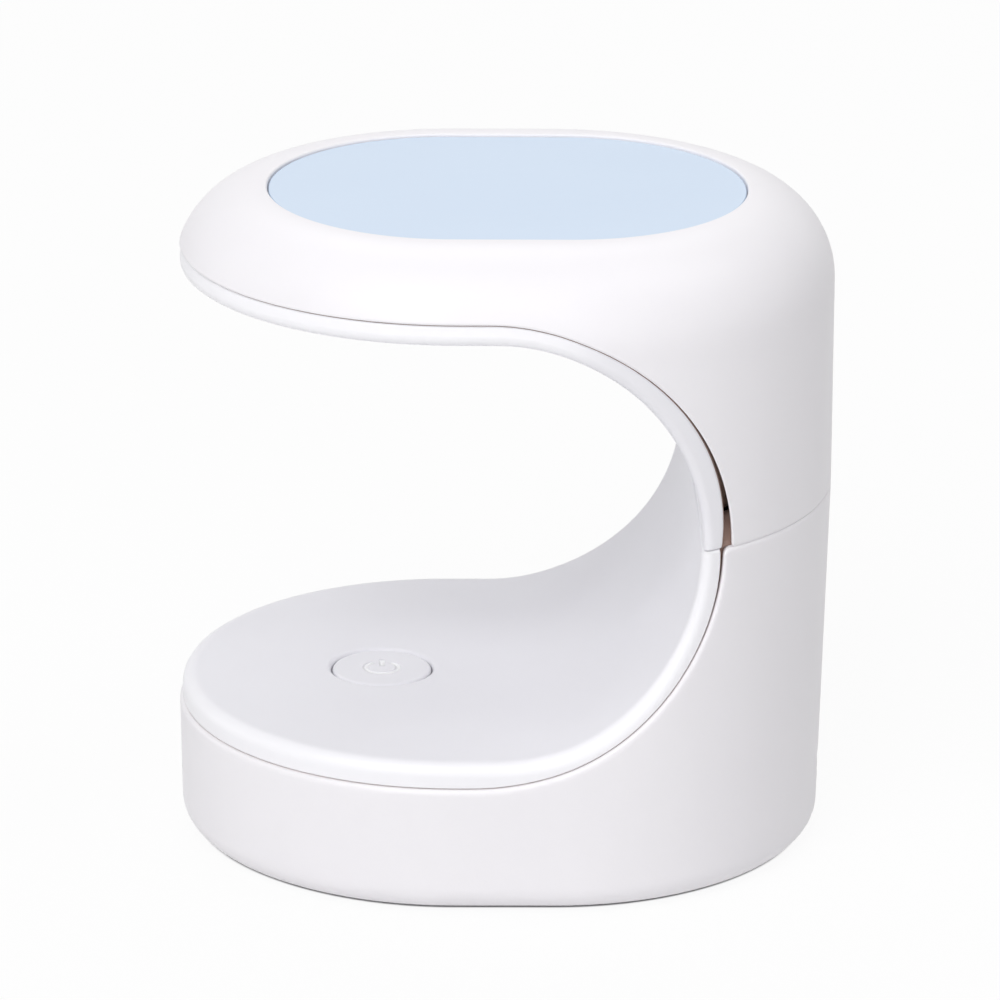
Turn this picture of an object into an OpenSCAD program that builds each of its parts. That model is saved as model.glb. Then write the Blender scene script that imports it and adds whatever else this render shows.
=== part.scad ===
/* [Body] */
// Overall length at the seam, along X, column end at +X
body_l = 80; // [76:0.5:90]
// Overall width at the seam, along Y
body_w = 67.7; // [64:0.1:72]
// Height from the underside of the lower shell to the top panel
body_h = 80.7; // [78:0.1:92]
// Height of the seam between the two shells above the underside
seam_h = 44.2; // [42:0.1:48]
// Lean of the upper wall from the seam to the top, in degrees
upper_draft = 0.43; // [0.2:0.01:1]
// Lean of the lower wall from the seam to the underside, in degrees
lower_draft = 1.15; // [0.5:0.05:1.5]
// Radius of the rounded top edge
top_round = 10.8; // [9.5:0.1:11.5]
// Radius of the rounded bottom edge
base_round = 2.3; // [1:0.1:3]
// Wall of both shells
shell_t = 2.2; // [1.8:0.1:2.6]
// Floor of the lower shell
floor_t = 2; // [1.6:0.1:2.4]
// Roof of the upper shell below the panel recess
roof_t = 2; // [1.6:0.1:2.4]
// Open groove between the rims of the two shells
seam_gap = 0.15; // [0.1:0.05:0.3]

/* [Finger slot] */
// Height of the finger pad above the underside
pad_h = 18.6; // [17.5:0.1:21]
// Thickness of the head, from its underside to the top panel
head_t = 9.4; // [9:0.1:11]
// Depth of the column from its rear face to the slot face, at the seam
column_t = 16.7; // [16:0.1:19]
// Length over which the pad curves up into the column
curve_low = 23.6; // [22:0.1:26]
// Length over which the column curves over into the head
curve_up = 24.5; // [23:0.1:26]

/* [Liners] */
// Thickness of the lower liner at the finger pad
pad_liner_t = 2.4; // [2:0.1:2.8]
// Thickness of the upper liner at the head
head_liner_t = 2; // [1.8:0.1:2.4]
// Thickness of both liners at the seam
column_liner_t = 2; // [1.8:0.1:2.4]
// Extra length of the outer curve of the lower liner
sweep_low = 5.5; // [5:0.1:6]
// Extra length of the outer curve of the upper liner
sweep_up = 2; // [1.8:0.1:2.4]
// How far the liner edges lie inside the shell walls
liner_inset = 0.4; // [0.3:0.05:0.6]
// Gap between the lower liner and the shell rim at the pad
pad_gap = 0.15; // [0.1:0.05:0.25]
// Gap between the upper liner and the shell rim at the head
head_gap = 0.2; // [0.2:0.05:0.3]
// Gap between the lower liner and the lower shell at the seam
seam_gap_low = 0.4; // [0.3:0.05:0.6]
// Gap between the upper liner and the upper shell at the seam
seam_gap_up = 1.25; // [1:0.05:1.4]
// Gap between the ends of the two liners
liner_split = 0.1; // [0.05:0.05:0.2]
// Thickness of the locating lips on the liners
lip_t = 1.2; // [1:0.1:1.5]
// Reach of the locating lips into the shells
lip_h = 1.6; // [1.2:0.1:2]
// Clearance between a locating lip and the wall it sits in
lip_gap = 0.2; // [0.15:0.05:0.3]
// Width of the lap that the upper liner holds behind the lower one
lap_w = 16; // [12:1:18]
// Reach of the lap to either side of the split
lap_h = 3; // [2:0.5:4]
// Thickness of the lap
lap_t = 1; // [0.8:0.1:1.2]

/* [Top panel] */
// Margin of the panel from each end of the body
panel_end_margin = 11.3; // [11:0.1:13]
// Margin of the panel from each side of the body
panel_side_margin = 12.2; // [12:0.05:14]
// Place of the panel centre along X
panel_x = 0.3; // [-0.5:0.1:0.5]
// How far the panel lies below the rim of its recess
panel_sink = 0.1; // [0.05:0.05:0.2]
// Thickness of the panel
panel_t = 1; // [0.8:0.1:1.2]
// Gap around the panel in its recess
panel_gap = 0.15; // [0.1:0.05:0.2]
// Thickness of the adhesive film below the panel
film_t = 0.2; // [0.1:0.05:0.3]
// Margin of the film inside the panel edge
film_margin = 1.5; // [1:0.1:2]

/* [Button] */
// Diameter of the button cap
cap_d = 12.2; // [11:0.1:13]
// Place of the button along X
button_x = -14.6; // [-16:0.1:-13]
// Gap around the cap at the pad surface
cap_gap = 0.25; // [0.2:0.05:0.35]
// Radial clearance of the cap in its guide collar
guide_gap = 0.08; // [0.05:0.01:0.1]
// How far the cap lies below the pad surface
cap_sink = 0.15; // [0.05:0.05:0.3]
// Thickness of the cap plate
cap_t = 1.6; // [1.2:0.1:2]
// Wall of the cap skirt
skirt_t = 1; // [0.8:0.1:1.2]
// Height of the guide collar below the pad liner
collar_h = 2; // [1.5:0.1:2.5]
// Wall of the guide collar
collar_t = 1.2; // [1:0.1:1.5]
// Overhang of the cap flange past the cap
flange_w = 1; // [0.8:0.1:1.2]
// Thickness of the cap flange
flange_t = 0.8; // [0.6:0.1:1]
// Diameter of the stem below the cap
stem_d = 3.2; // [2.6:0.1:3.6]
// Travel of the button
travel = 0.4; // [0.2:0.05:0.5]
// Gap between stop faces and touching faces of the button at rest
rest_gap = 0.05; // [0.03:0.01:0.1]
// Depth of the sunk power mark on the cap
mark_depth = 0.2; // [0.1:0.05:0.3]

/* [Control board] */
// Height of the centre of the power socket above the underside
socket_h = 8.3; // [8:0.1:10]
// Thickness of the control board
board_t = 1.2; // [1:0.1:1.6]
// Width of the control board
board_w = 18; // [17:0.5:19]
// Reach of the control board past the button, towards the tip
board_tip = 7.6; // [7:0.1:9]
// Width of the narrow tail of the board under the socket
tail_w = 12; // [11:0.5:12.5]
// Clearance between the board tail and the wall behind it
tail_gap = 0.8; // [0.5:0.1:1.5]
// Length of the power socket
socket_l = 9; // [8:0.1:10]
// Width of the power socket
socket_w = 8.94; // [8.9:0.01:9]
// Height of the power socket
socket_t = 3.2; // [3.1:0.02:3.3]
// Sheet thickness of the power socket
socket_wall = 0.3; // [0.2:0.05:0.4]
// How far the socket mouth stands out of the wall
socket_proud = 0.2; // [0.1:0.05:0.4]
// Gap around the socket in the wall
socket_gap = 0.18; // [0.1:0.02:0.3]
// Width of the square push switch
switch_w = 6; // [5.5:0.1:6.5]
// Height of the push switch from the board to the plunger top
switch_h = 5; // [4.8:0.1:6]
// Height of the push switch housing
housing_h = 3.3; // [3.2:0.1:3.8]

/* [Lamp head] */
// Place of the lamp window along X
lamp_x = -9; // [-11:0.5:-7]
// Length of the window opening
window_l = 16.4; // [16:0.2:18]
// Width of the window opening
window_w = 10; // [9.6:0.2:11]
// Width of the step that carries the window flange
window_step = 0.8; // [0.6:0.1:1]
// Thickness of the window flange
window_flange_t = 0.7; // [0.5:0.1:0.9]
// Gap around the window
window_gap = 0.1; // [0.05:0.05:0.15]
// Length of the lamp board
lamp_board_l = 26; // [25:0.5:28]
// Width of the lamp board
lamp_board_w = 18; // [17:0.5:18.5]
// Thickness of the lamp board
lamp_board_t = 1; // [0.8:0.1:1.2]
// Height of the posts that carry the lamp board
lamp_post_h = 1.7; // [1.5:0.1:1.9]
// Spacing of the lamp beads
bead_pitch = 5.4; // [4.8:0.1:6]
// Number of lamp beads along X
beads_x = 3; // [2:1:3]
// Number of lamp beads along Y
beads_y = 2; // [1:1:2]
// Width of one square lamp bead
bead_w = 3; // [2.4:0.1:3.4]
// Thickness of one lamp bead
bead_t = 0.7; // [0.5:0.1:0.8]
// Radius of the clear dome on a lamp bead
dome_r = 1.1; // [0.8:0.1:1.2]
// Height of the clear dome on a lamp bead
dome_h = 0.6; // [0.4:0.1:0.7]

/* [Screws and bosses] */
// Core radius of the large screws
big_r = 1.05; // [0.9:0.05:1.2]
// Core radius of the small screws
small_r = 0.75; // [0.6:0.05:0.85]
// Radial clearance of a screw core in its pilot hole
pilot_gap = 0.05; // [0.03:0.01:0.08]
// Radial clearance of a screw in a through hole
through_gap = 0.3; // [0.2:0.05:0.4]
// Head radius as a share of the core radius
head_share = 2.1; // [1.9:0.05:2.3]
// Wall of a boss around its bore
boss_t = 0.9; // [0.8:0.05:1.2]
// Length of the column screws
column_screw_l = 16; // [14:1:18]
// Thickness of boss under a sunk screw head
seat_t = 3; // [2.5:0.1:4]
// Angle of the column bosses around the rear end
column_boss_angle = 31; // [28:0.5:34]
// Place of the pad bosses along X
pad_boss_x = -25; // [-27:0.5:-23]
// Place of the pad bosses along Y
pad_boss_y = 14; // [13:0.5:15]
// Length of the head screws below their heads
short_screw_l = 5; // [4:0.1:5.4]
// Thickness of the ribs that tie the column bosses to the wall
rib_t = 1.6; // [1.2:0.1:2]

/* [Wires and feet] */
// Diameter of the lamp wires
wire_d = 1; // [0.8:0.05:1.1]
// Distance between the two lamp wires
wire_pitch = 2; // [1.8:0.1:2.4]
// Bend radius of the lamp wires
wire_bend = 5; // [4:0.5:6]
// Clearance between the lamp wires and the lap behind the liners
wire_gap = 0.6; // [0.4:0.1:0.8]
// Diameter of a rubber foot
foot_d = 8; // [7:0.5:8.5]
// How far a foot stands out below the lower shell
foot_proud = 0.4; // [0.3:0.1:0.8]
// Depth of the recess that holds a foot
foot_sink = 0.8; // [0.6:0.1:1]
// Place of the feet along X, on both sides of the centre
foot_x = 17; // [15:0.5:18]
// Place of the feet along Y, on both sides of the centre
foot_y = 23; // [21:0.5:24]

/* [Hidden] */
$fn = 64;
arc_steps = 14;
curve_steps = 30;
// Far enough to reach past the whole body, and how far a cut runs past a face
far = 2 * body_l;
over = 1;

// Levels and plan
r_seam = body_w / 2;
half_straight = (body_l - body_w) / 2;
under_z = foot_proud;
seam_z = under_z + seam_h;
top_z = under_z + body_h;
pad_z = under_z + pad_h;
head_z = top_z - head_t;
floor_z = under_z + floor_t;
panel_z = top_z - panel_sink - panel_t;
recess_z = panel_z - film_t;
roof_z = recess_z - roof_t;
r_under = r_seam - seam_h * tan(lower_draft);
panel_l = body_l - 2 * panel_end_margin;
panel_w = body_w - 2 * panel_side_margin;

// Slot, liner and shell cut curves: the face at the seam, then length and height of each half
slot_face = body_l / 2 - column_t;
slot_low = [curve_low, seam_z - pad_z];
slot_up = [curve_up, head_z - seam_z];
liner_face = slot_face + column_liner_t;
liner_low = [curve_low + sweep_low, slot_low[1] + pad_liner_t];
liner_up = [curve_up + sweep_up, slot_up[1] + head_liner_t];
lead_low = 0.2;
lead_up = 1;
cut_low_face = liner_face + seam_gap_low;
cut_up_face = liner_face + seam_gap_up;
cut_low = [liner_low[0] + seam_gap_low + lead_low, liner_low[1] + pad_gap];
cut_up = [liner_up[0] + seam_gap_up + lead_up, liner_up[1] + head_gap];
plate_z = pad_z - pad_liner_t;
lamp_liner_top = head_z + head_liner_t;
lap_gap = 0.1;

// Tongue of the lower shell inside the upper one
tongue_h = 1.5;
tongue_t = 1;
tongue_gap = 0.15;

// Screws, bosses and their bores
big_head_r = big_r * head_share;
small_head_r = small_r * head_share;
head_ratio = 0.62;
cross_arm = 1.24;
cross_width = 0.28;
cross_depth = 0.34;
big_boss_r = big_head_r + through_gap + boss_t;
small_boss_r = small_r + pilot_gap + boss_t;
blind_t = 0.8;
column_boss_d = r_under - shell_t - big_boss_r;
column_boss = [
    half_straight + column_boss_d * cos(column_boss_angle),
    column_boss_d * sin(column_boss_angle)
];
column_seat_z = seam_z - column_screw_l / 2;
pad_boss = [pad_boss_x, pad_boss_y];
pad_boss_z = (floor_z + plate_z) / 2;
pad_seat_z = pad_boss_z - seat_t;
pad_screw_l = plate_z - pad_seat_z - blind_t;

// Power socket
socket_z = under_z + socket_h;
socket_end = half_straight + r_seam - (seam_h - socket_h) * tan(lower_draft) + socket_proud;
socket_back = socket_end - socket_l;
tongue_sink = 0.6;
tongue_size = [5.2, 6.7, 0.7];
contact_size = [3.6, 0.4, 0.08];
contact_pitch = 1;
contacts = 6;

// Control board
board_top = socket_z - socket_t / 2;
board_z = board_top - board_t;
tail_end = half_straight + sqrt(pow(r_under - shell_t, 2) - pow(tail_w / 2, 2)) - tail_gap;
board_start = button_x - board_tip;
board_neck = column_boss[0] - 0.9;
board_hole_edge = 2.4;
board_holes = [
    [board_start + board_hole_edge, board_w / 2 - board_hole_edge],
    [board_neck - board_hole_edge - 1, board_w / 2 - board_hole_edge]
];
board_hole_floor = floor_t / 2;
board_screw_l = board_top - under_z - board_hole_floor - blind_t;

// Push switch
plunger_top = board_top + switch_h;
plunger_r = 1.7;
plunger_flange_r = 2.15;
cover_t = 0.2;
cover_z = board_top + housing_h;
housing_bore_r = 2.35;
housing_floor_z = board_top + 0.8;
dome_spring_r = 2.1;
dome_spring_t = 0.12;
dome_pressed_h = 0.6;
dome_spring_h = dome_pressed_h + travel;
plunger_flange_z = housing_floor_z + dome_spring_h + rest_gap;

// Button
cap_r = cap_d / 2;
cap_z = pad_z - cap_sink;
collar_z = plate_z - collar_h;
flange_z = collar_z - rest_gap - flange_t;
mark_r = 2;
mark_w = 0.4;

// Lamp head
lamp_board_z = lamp_liner_top + lamp_post_h;
lamp_board_top = lamp_board_z + lamp_board_t;
window_step_z = lamp_liner_top - window_flange_t - 0.2;
lamp_hole = [lamp_board_l / 2 - 2.2, lamp_board_w / 2 - 2];
lamp_screw_r = 0.6;
lamp_screw_l = lamp_board_top - head_z - blind_t - 0.3;
head_bosses = [
    [lamp_x + lamp_board_l / 2 + 2.3, lamp_board_w / 2 + 5.5],
    [lamp_x - lamp_board_l / 2, lamp_board_w / 2 + 3.2]
];
sink_t = 1;

// Wires and connector
connector_x = liner_face + lap_gap + lap_t + wire_gap + wire_d / 2;
header_size = [4.2, 6.4, 4.5];
header_wall = 0.7;
plug_size = [2.8, 5, 5.5];
plug_z = board_top + 1;
plug_top = plug_z + plug_size[2];
wire_z = lamp_board_top + wire_d / 2;
wire_end_x = lamp_x + lamp_board_l / 2 - 1.2;
joint_size = [0.95, 0.4, 0.8];

// Parts on the control board: shift from the button or the connector, then body size
at_button = [button_x, 0];
at_connector = [connector_x, 0];
chip_shift = [11.6, 3.5];
chip_size = [4.9, 3.9, 1.3];
chip_legs = [4, 1.27];
transistor_shift = [18.6, 5.5];
transistor_size = [3, 1.8, 1];
transistor_legs = [2, 1.9];
leg_size = [0.4, 0.8, 0.25];
inductor_shift = [-16, 0];
inductor_base = [6, 6, 0.8];
inductor_can = [2.7, 3];
capacitor_shifts = [[10.6, -4.5], [-8, 4]];
capacitor_base = [4.4, 4.4, 0.8];
capacitor_can = [2, 5.2];
resistor_shift = [15.35, -6.6];
resistor_pitch = 1.9;
resistor_size = [1.25, 2, 0.5];
resistors = 4;

foot_gap = 0.1;

shell_white = [0.95, 0.95, 0.955];
liner_white = [0.93, 0.93, 0.94];
panel_blue = [0.66, 0.78, 0.9];
steel = [0.72, 0.73, 0.75];

function arc(centre, r, a0, a1) =
    [for (i = [0:arc_steps]) let (a = a0 + (a1 - a0) * i / arc_steps) centre + r * [cos(a), sin(a)]];

function quarter_curve(size) =
    [for (i = [0:curve_steps]) let (a = 90 * i / curve_steps) [size[0] * cos(a), size[1] * sin(a)]];

// Half section of a drafted wall that is r wide at z_wide and ends rounded at z_end
module wall_section(r, z_wide, z_end, draft, round) {
    side = sign(z_end - z_wide);
    centre = [r - abs(z_end - side * round - z_wide) * tan(draft) - round / cos(draft), z_end - side * round];
    polygon(concat([[0, z_wide], [r, z_wide]], arc(centre, round, side * draft, side * 90), [[0, z_end]]));
}

// Sweeps a half section around the rounded oblong plan of the body
module oblong(straight = half_straight) {
    for (end = [-1, 1])
        translate([end * straight, 0, 0])
            rotate([0, 0, -90 * end])
                rotate_extrude(angle = 180)
                    children();
    translate([-straight, 0, 0])
        rotate([90, 0, 90])
            linear_extrude(2 * straight) {
                children();
                mirror([1, 0]) children();
            }
}

module upper_form(inset = 0) {
    oblong() wall_section(r_seam - inset, seam_z, top_z - inset, upper_draft, top_round - inset);
}

module lower_form(inset = 0) {
    oblong() wall_section(r_seam - inset, seam_z, under_z + inset, lower_draft, base_round);
}

module upper_cavity(shrink = 0) {
    oblong()
        wall_section(r_seam - shell_t - shrink, seam_z, roof_z - shrink, upper_draft,
            top_round - shell_t - shrink);
}

module lower_cavity(shrink = 0) {
    oblong()
        wall_section(r_seam - shell_t - shrink, seam_z, floor_z + shrink, lower_draft, base_round / 2);
}

// Everything on one side of a level, or in front of a place along X
module slab(z0, z1) {
    translate([-far / 2, -far / 2, z0]) cube([far, far, z1 - z0]);
}

module tip_side(x_end) {
    translate([x_end - far, -far / 2, 0]) cube([far, far, far]);
}

// Half of the slot between pad and head: flat towards the tip, curved into the column
module slot_half(face, size, side) {
    rotate([90, 0, 0])
        linear_extrude(far, center = true)
            translate([face - size[0], seam_z])
                polygon(concat(
                    [for (p = quarter_curve(size)) [p[0], side * p[1]]],
                    [[-far, side * size[1]], [-far, 0]]
                ));
}

module at_both_sides(p) {
    for (side = [-1, 1]) translate([p[0], side * p[1], 0]) children();
}

module at_both_ends(x, y) {
    for (end = [-1, 1]) at_both_sides([end * x, y]) children();
}

module post(r, z0, z1) {
    translate([0, 0, z0]) cylinder(r = r, h = z1 - z0);
}

module block(size, z0) {
    translate([0, 0, z0 + size[2] / 2]) cube(size, center = true);
}

module oblong_plate(length, width, z0, z1) {
    translate([0, 0, z0])
        linear_extrude(z1 - z0) {
            for (end = [-1, 1]) translate([end * (length - width) / 2, 0]) circle(d = width);
            square([length - width, width], center = true);
        }
}

module cross_recess(head_r, z) {
    arm = head_r * cross_arm;
    slot = head_r * cross_width;
    depth = head_r * cross_depth;
    for (turn = [0, 90])
        rotate([0, 0, turn])
            block([arm, slot, 2 * depth], z - depth);
}

// Screw with a rounded pan head that sits on z = 0, pointing down
module pan_screw(r, length) {
    head_r = r * head_share;
    head_h = head_r * head_ratio;
    difference() {
        rotate_extrude()
            polygon([
                [0, -length], [r / 3, -length], [r, r - length], [r, 0], [head_r, 0],
                [head_r, head_h / 2], [head_r - head_h / 2, head_h], [0, head_h]
            ]);
        cross_recess(head_r, head_h);
    }
}

module column_rib(z0, z1) {
    reach = r_under - shell_t / 2 - column_boss_d;
    for (side = [-1, 1])
        translate([half_straight, 0, z0])
            rotate([0, 0, side * column_boss_angle])
                translate([column_boss_d, -rib_t / 2, 0])
                    cube([reach, rib_t, z1 - z0]);
}

// Ring of the lower shell that locates the upper shell at the seam
module tongue_ring(grow = 0) {
    r_in = r_seam - shell_t;
    root = seam_z - shell_t;
    difference() {
        oblong() translate([0, root]) square([r_in + tongue_t + grow, seam_z + tongue_h + grow - root]);
        oblong() translate([0, root - over]) square([r_in, far]);
    }
}

module upper_shell() {
    color(shell_white)
    difference() {
        union() {
            difference() {
                upper_form();
                upper_cavity();
                slot_half(cut_up_face, cut_up, 1);
                tongue_ring(tongue_gap);
                slab(0, seam_z + seam_gap);
            }
            intersection() {
                upper_form(shell_t / 2);
                union() {
                    at_both_sides(column_boss) post(big_boss_r, seam_z, top_z);
                    column_rib(seam_z + tongue_h + over, top_z - top_round);
                }
            }
        }
        at_both_sides(column_boss)
            post(big_r + pilot_gap, seam_z - over, seam_z + column_screw_l / 2 + blind_t);
        translate([panel_x, 0, 0])
            oblong_plate(panel_l + 2 * panel_gap, panel_w + 2 * panel_gap, recess_z, top_z + over);
        for (p = head_bosses)
            at_both_sides(p) {
                post(small_r + through_gap, roof_z - over, recess_z);
                post(small_head_r + through_gap, recess_z - sink_t, recess_z + over);
            }
    }
}

module socket_outline(grow) {
    w = socket_w + 2 * grow;
    t = socket_t + 2 * grow;
    for (end = [-1, 1]) translate([end * (w - t) / 2, 0]) circle(d = t);
    square([w - t, t], center = true);
}

module socket_bar(grow, x0, x1) {
    translate([x0, 0, socket_z]) rotate([90, 0, 90]) linear_extrude(x1 - x0) socket_outline(grow);
}

module lower_shell() {
    color(shell_white)
    difference() {
        union() {
            difference() {
                union() {
                    lower_form();
                    tongue_ring();
                }
                lower_cavity();
                slot_half(cut_low_face, cut_low, -1);
                slot_half(cut_up_face, cut_up, 1);
                socket_bar(socket_gap, socket_back, body_l);
            }
            intersection() {
                lower_form(shell_t / 2);
                column_rib(floor_z - over, seam_z - shell_t);
            }
            at_both_sides(column_boss) post(big_boss_r, floor_z - over, seam_z);
            at_both_sides(pad_boss) post(big_boss_r, floor_z - over, pad_boss_z);
            for (p = board_holes) at_both_sides(p) post(small_boss_r, floor_z - over, board_z);
        }
        at_both_sides(column_boss) screw_way(column_seat_z, seam_z);
        at_both_sides(pad_boss) screw_way(pad_seat_z, pad_boss_z);
        for (p = board_holes)
            at_both_sides(p) post(small_r + pilot_gap, under_z + board_hole_floor, board_z + over);
        at_both_ends(foot_x, foot_y) post(foot_d / 2 + foot_gap, under_z - over, under_z + foot_sink);
    }
}

// Deep hole for a screw head from below, and the through hole above its seat
module screw_way(seat_z, z1) {
    post(big_head_r + through_gap, under_z - over, seat_z);
    post(big_r + through_gap, under_z, z1 + over);
}

module upper_liner() {
    step = 2 * window_step;
    color(liner_white)
    difference() {
        union() {
            intersection() {
                slot_half(liner_face, liner_up, 1);
                upper_form(liner_inset);
                slab(seam_z + liner_split / 2, far);
            }
            intersection() {
                difference() {
                    upper_cavity(lip_gap);
                    upper_cavity(lip_gap + lip_t);
                }
                tip_side(liner_face - liner_up[0]);
                slab(lamp_liner_top - head_liner_t / 2, lamp_liner_top + lip_h);
            }
            for (p = head_bosses) at_both_sides(p) post(small_boss_r, seam_z, roof_z);
            translate([lamp_x, 0, 0])
                at_both_ends(lamp_hole[0], lamp_hole[1]) post(small_boss_r, seam_z, lamp_board_z);
            liner_lap();
        }
        slot_half(slot_face, slot_up, 1);
        for (p = head_bosses) at_both_sides(p) post(small_r + pilot_gap, head_z + blind_t, roof_z);
        translate([lamp_x, 0, 0]) {
            at_both_ends(lamp_hole[0], lamp_hole[1])
                post(lamp_screw_r + pilot_gap, head_z + blind_t, lamp_board_z + over);
            oblong_plate(window_l, window_w, head_z - over, lamp_liner_top + over);
            oblong_plate(window_l + step, window_w + step, window_step_z, lamp_liner_top + over);
        }
    }
}

// Lap on the back of the upper liner that reaches down behind the lower one
module liner_lap() {
    root = [liner_face - lap_t / 2, -lap_w / 2, seam_z + liner_split / 2];
    translate([liner_face + lap_gap, -lap_w / 2, seam_z - lap_h]) cube([lap_t, lap_w, 2 * lap_h]);
    translate(root) cube([lap_t, lap_w, lap_h - liner_split / 2]);
}

module lower_liner() {
    pilot_r = big_r + pilot_gap;
    color(liner_white)
    difference() {
        union() {
            intersection() {
                slot_half(liner_face, liner_low, -1);
                lower_form(liner_inset);
                slab(0, seam_z - liner_split / 2);
            }
            intersection() {
                difference() {
                    lower_cavity(lip_gap);
                    lower_cavity(lip_gap + lip_t);
                }
                tip_side(liner_face - liner_low[0]);
                slab(plate_z - lip_h, plate_z + pad_liner_t / 2);
            }
            at_both_sides(pad_boss) post(pilot_r + boss_t, pad_boss_z, pad_z);
            translate([button_x, 0, 0]) post(cap_r + cap_gap + collar_t, collar_z, pad_z);
        }
        slot_half(slot_face, slot_low, -1);
        translate([button_x, 0, 0]) {
            post(cap_r + guide_gap, collar_z - over, pad_z + over);
            post(cap_r + cap_gap, pad_z - pad_liner_t / 2, pad_z + over);
        }
        at_both_sides(pad_boss) post(pilot_r, pad_boss_z - over, plate_z);
    }
}

module top_panel() {
    color(panel_blue)
        translate([panel_x, 0, 0]) oblong_plate(panel_l, panel_w, panel_z, panel_z + panel_t);
}

module panel_film() {
    length = panel_l - 2 * film_margin;
    width = panel_w - 2 * film_margin;
    color("gainsboro")
        translate([panel_x, 0, 0]) oblong_plate(length, width, recess_z, panel_z);
}

module lamp_window() {
    play = 2 * window_gap;
    flange = 2 * window_step - play;
    flange_top = window_step_z + window_flange_t;
    color([0.85, 0.88, 0.95, 0.5])
    translate([lamp_x, 0, 0]) {
        oblong_plate(window_l - play, window_w - play, head_z + window_gap, window_step_z);
        oblong_plate(window_l + flange, window_w + flange, window_step_z, flange_top);
    }
}

module lamp_board() {
    color("whitesmoke")
    translate([lamp_x, 0, 0])
        difference() {
            block([lamp_board_l, lamp_board_w, lamp_board_t], lamp_board_z);
            at_both_ends(lamp_hole[0], lamp_hole[1])
                post(lamp_screw_r + through_gap, lamp_board_z - over, lamp_board_top + over);
        }
}

module at_beads() {
    for (i = [0:beads_x - 1], j = [0:beads_y - 1])
        translate([
            lamp_x + (i - (beads_x - 1) / 2) * bead_pitch,
            (j - (beads_y - 1) / 2) * bead_pitch,
            lamp_board_z
        ])
            children();
}

module lamp_beads() {
    color([0.95, 0.9, 0.7]) at_beads() block([bead_w, bead_w, bead_t], -bead_t);
}

// Radius of the ball that a dome of a given foot radius and height is cut from
function ball_radius(r, h) = (r * r + h * h) / (2 * h);

module lamp_domes() {
    ball_r = ball_radius(dome_r, dome_h);
    color([0.8, 0.75, 0.95, 0.6])
        at_beads()
            intersection() {
                translate([0, 0, ball_r - bead_t - dome_h]) sphere(r = ball_r);
                post(dome_r + over, -bead_t - dome_h - over, -bead_t);
            }
}

module lamp_board_screws() {
    color(steel)
        translate([lamp_x, 0, lamp_board_top])
            at_both_ends(lamp_hole[0], lamp_hole[1]) pan_screw(lamp_screw_r, lamp_screw_l);
}

module head_screws() {
    color(steel)
        for (p = head_bosses)
            at_both_sides(p) translate([0, 0, recess_z - sink_t]) pan_screw(small_r, short_screw_l);
}

module column_screws() {
    color(steel)
        at_both_sides(column_boss)
            translate([0, 0, column_seat_z]) mirror([0, 0, 1]) pan_screw(big_r, column_screw_l);
}

module pad_screws() {
    color(steel)
        at_both_sides(pad_boss)
            translate([0, 0, pad_seat_z]) mirror([0, 0, 1]) pan_screw(big_r, pad_screw_l);
}

module button_cap() {
    color(liner_white)
    translate([button_x, 0, 0]) {
        difference() {
            union() {
                post(cap_r, flange_z, cap_z);
                post(cap_r + flange_w, flange_z, flange_z + flange_t);
            }
            post(cap_r - skirt_t, flange_z - over, cap_z - cap_t);
            power_mark(mark_r, mark_w);
        }
        post(stem_d / 2, plunger_top + rest_gap, cap_z - cap_t);
    }
}

// Ring that is open at the back, with a bar standing in the opening
module power_mark(r, w) {
    translate([0, 0, cap_z - mark_depth]) {
        difference() {
            cylinder(r = r + w / 2, h = over);
            translate([0, 0, -over]) cylinder(r = r - w / 2, h = 3 * over);
            translate([-r / 2, 0, -over]) cube([r, 2 * r, 3 * over]);
        }
        translate([-w / 2, r / 3, 0]) cube([w, r, over]);
    }
}

module switch_housing() {
    color([0.12, 0.12, 0.13])
    translate([button_x, 0, 0])
        difference() {
            block([switch_w, switch_w, housing_h], board_top);
            post(housing_bore_r, housing_floor_z, cover_z + over);
        }
}

module switch_cover() {
    color(steel)
    translate([button_x, 0, 0])
        difference() {
            block([switch_w, switch_w, cover_t], cover_z);
            post(plunger_r + guide_gap, cover_z - over, cover_z + over);
        }
}

module switch_plunger() {
    color([0.9, 0.88, 0.8])
    translate([button_x, 0, 0]) {
        post(plunger_r, plunger_flange_z, plunger_top);
        post(plunger_flange_r, plunger_flange_z, cover_z - rest_gap);
    }
}

module switch_dome() {
    ball_r = ball_radius(dome_spring_r, dome_spring_h);
    color(steel)
    translate([button_x, 0, housing_floor_z])
        intersection() {
            difference() {
                translate([0, 0, dome_spring_h - ball_r]) sphere(r = ball_r);
                translate([0, 0, dome_spring_h - ball_r]) sphere(r = ball_r - dome_spring_t);
            }
            post(dome_spring_r + over, 0, dome_spring_h + over);
        }
}

module board_piece(x0, x1, width) {
    translate([x0, -width / 2, board_z]) cube([x1 - x0, width, board_t]);
}

module control_board() {
    color([0.1, 0.4, 0.22])
    difference() {
        union() {
            board_piece(board_start, board_neck, board_w);
            board_piece(board_start, tail_end, tail_w);
        }
        for (p = board_holes)
            at_both_sides(p) post(small_r + through_gap, board_z - over, board_top + over);
    }
}

module board_screws() {
    color(steel)
        for (p = board_holes)
            at_both_sides(p) translate([0, 0, board_top]) pan_screw(small_r, board_screw_l);
}

module socket_shell() {
    color(steel)
    difference() {
        socket_bar(0, socket_back, socket_end);
        socket_bar(-socket_wall, socket_back + socket_wall, body_l);
    }
}

module socket_tongue() {
    root = socket_end - tongue_sink - tongue_size[0];
    color([0.1, 0.1, 0.11]) {
        socket_bar(-socket_wall, socket_back + socket_wall, root);
        translate([root, -tongue_size[1] / 2, socket_z - tongue_size[2] / 2]) cube(tongue_size);
    }
}

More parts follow.
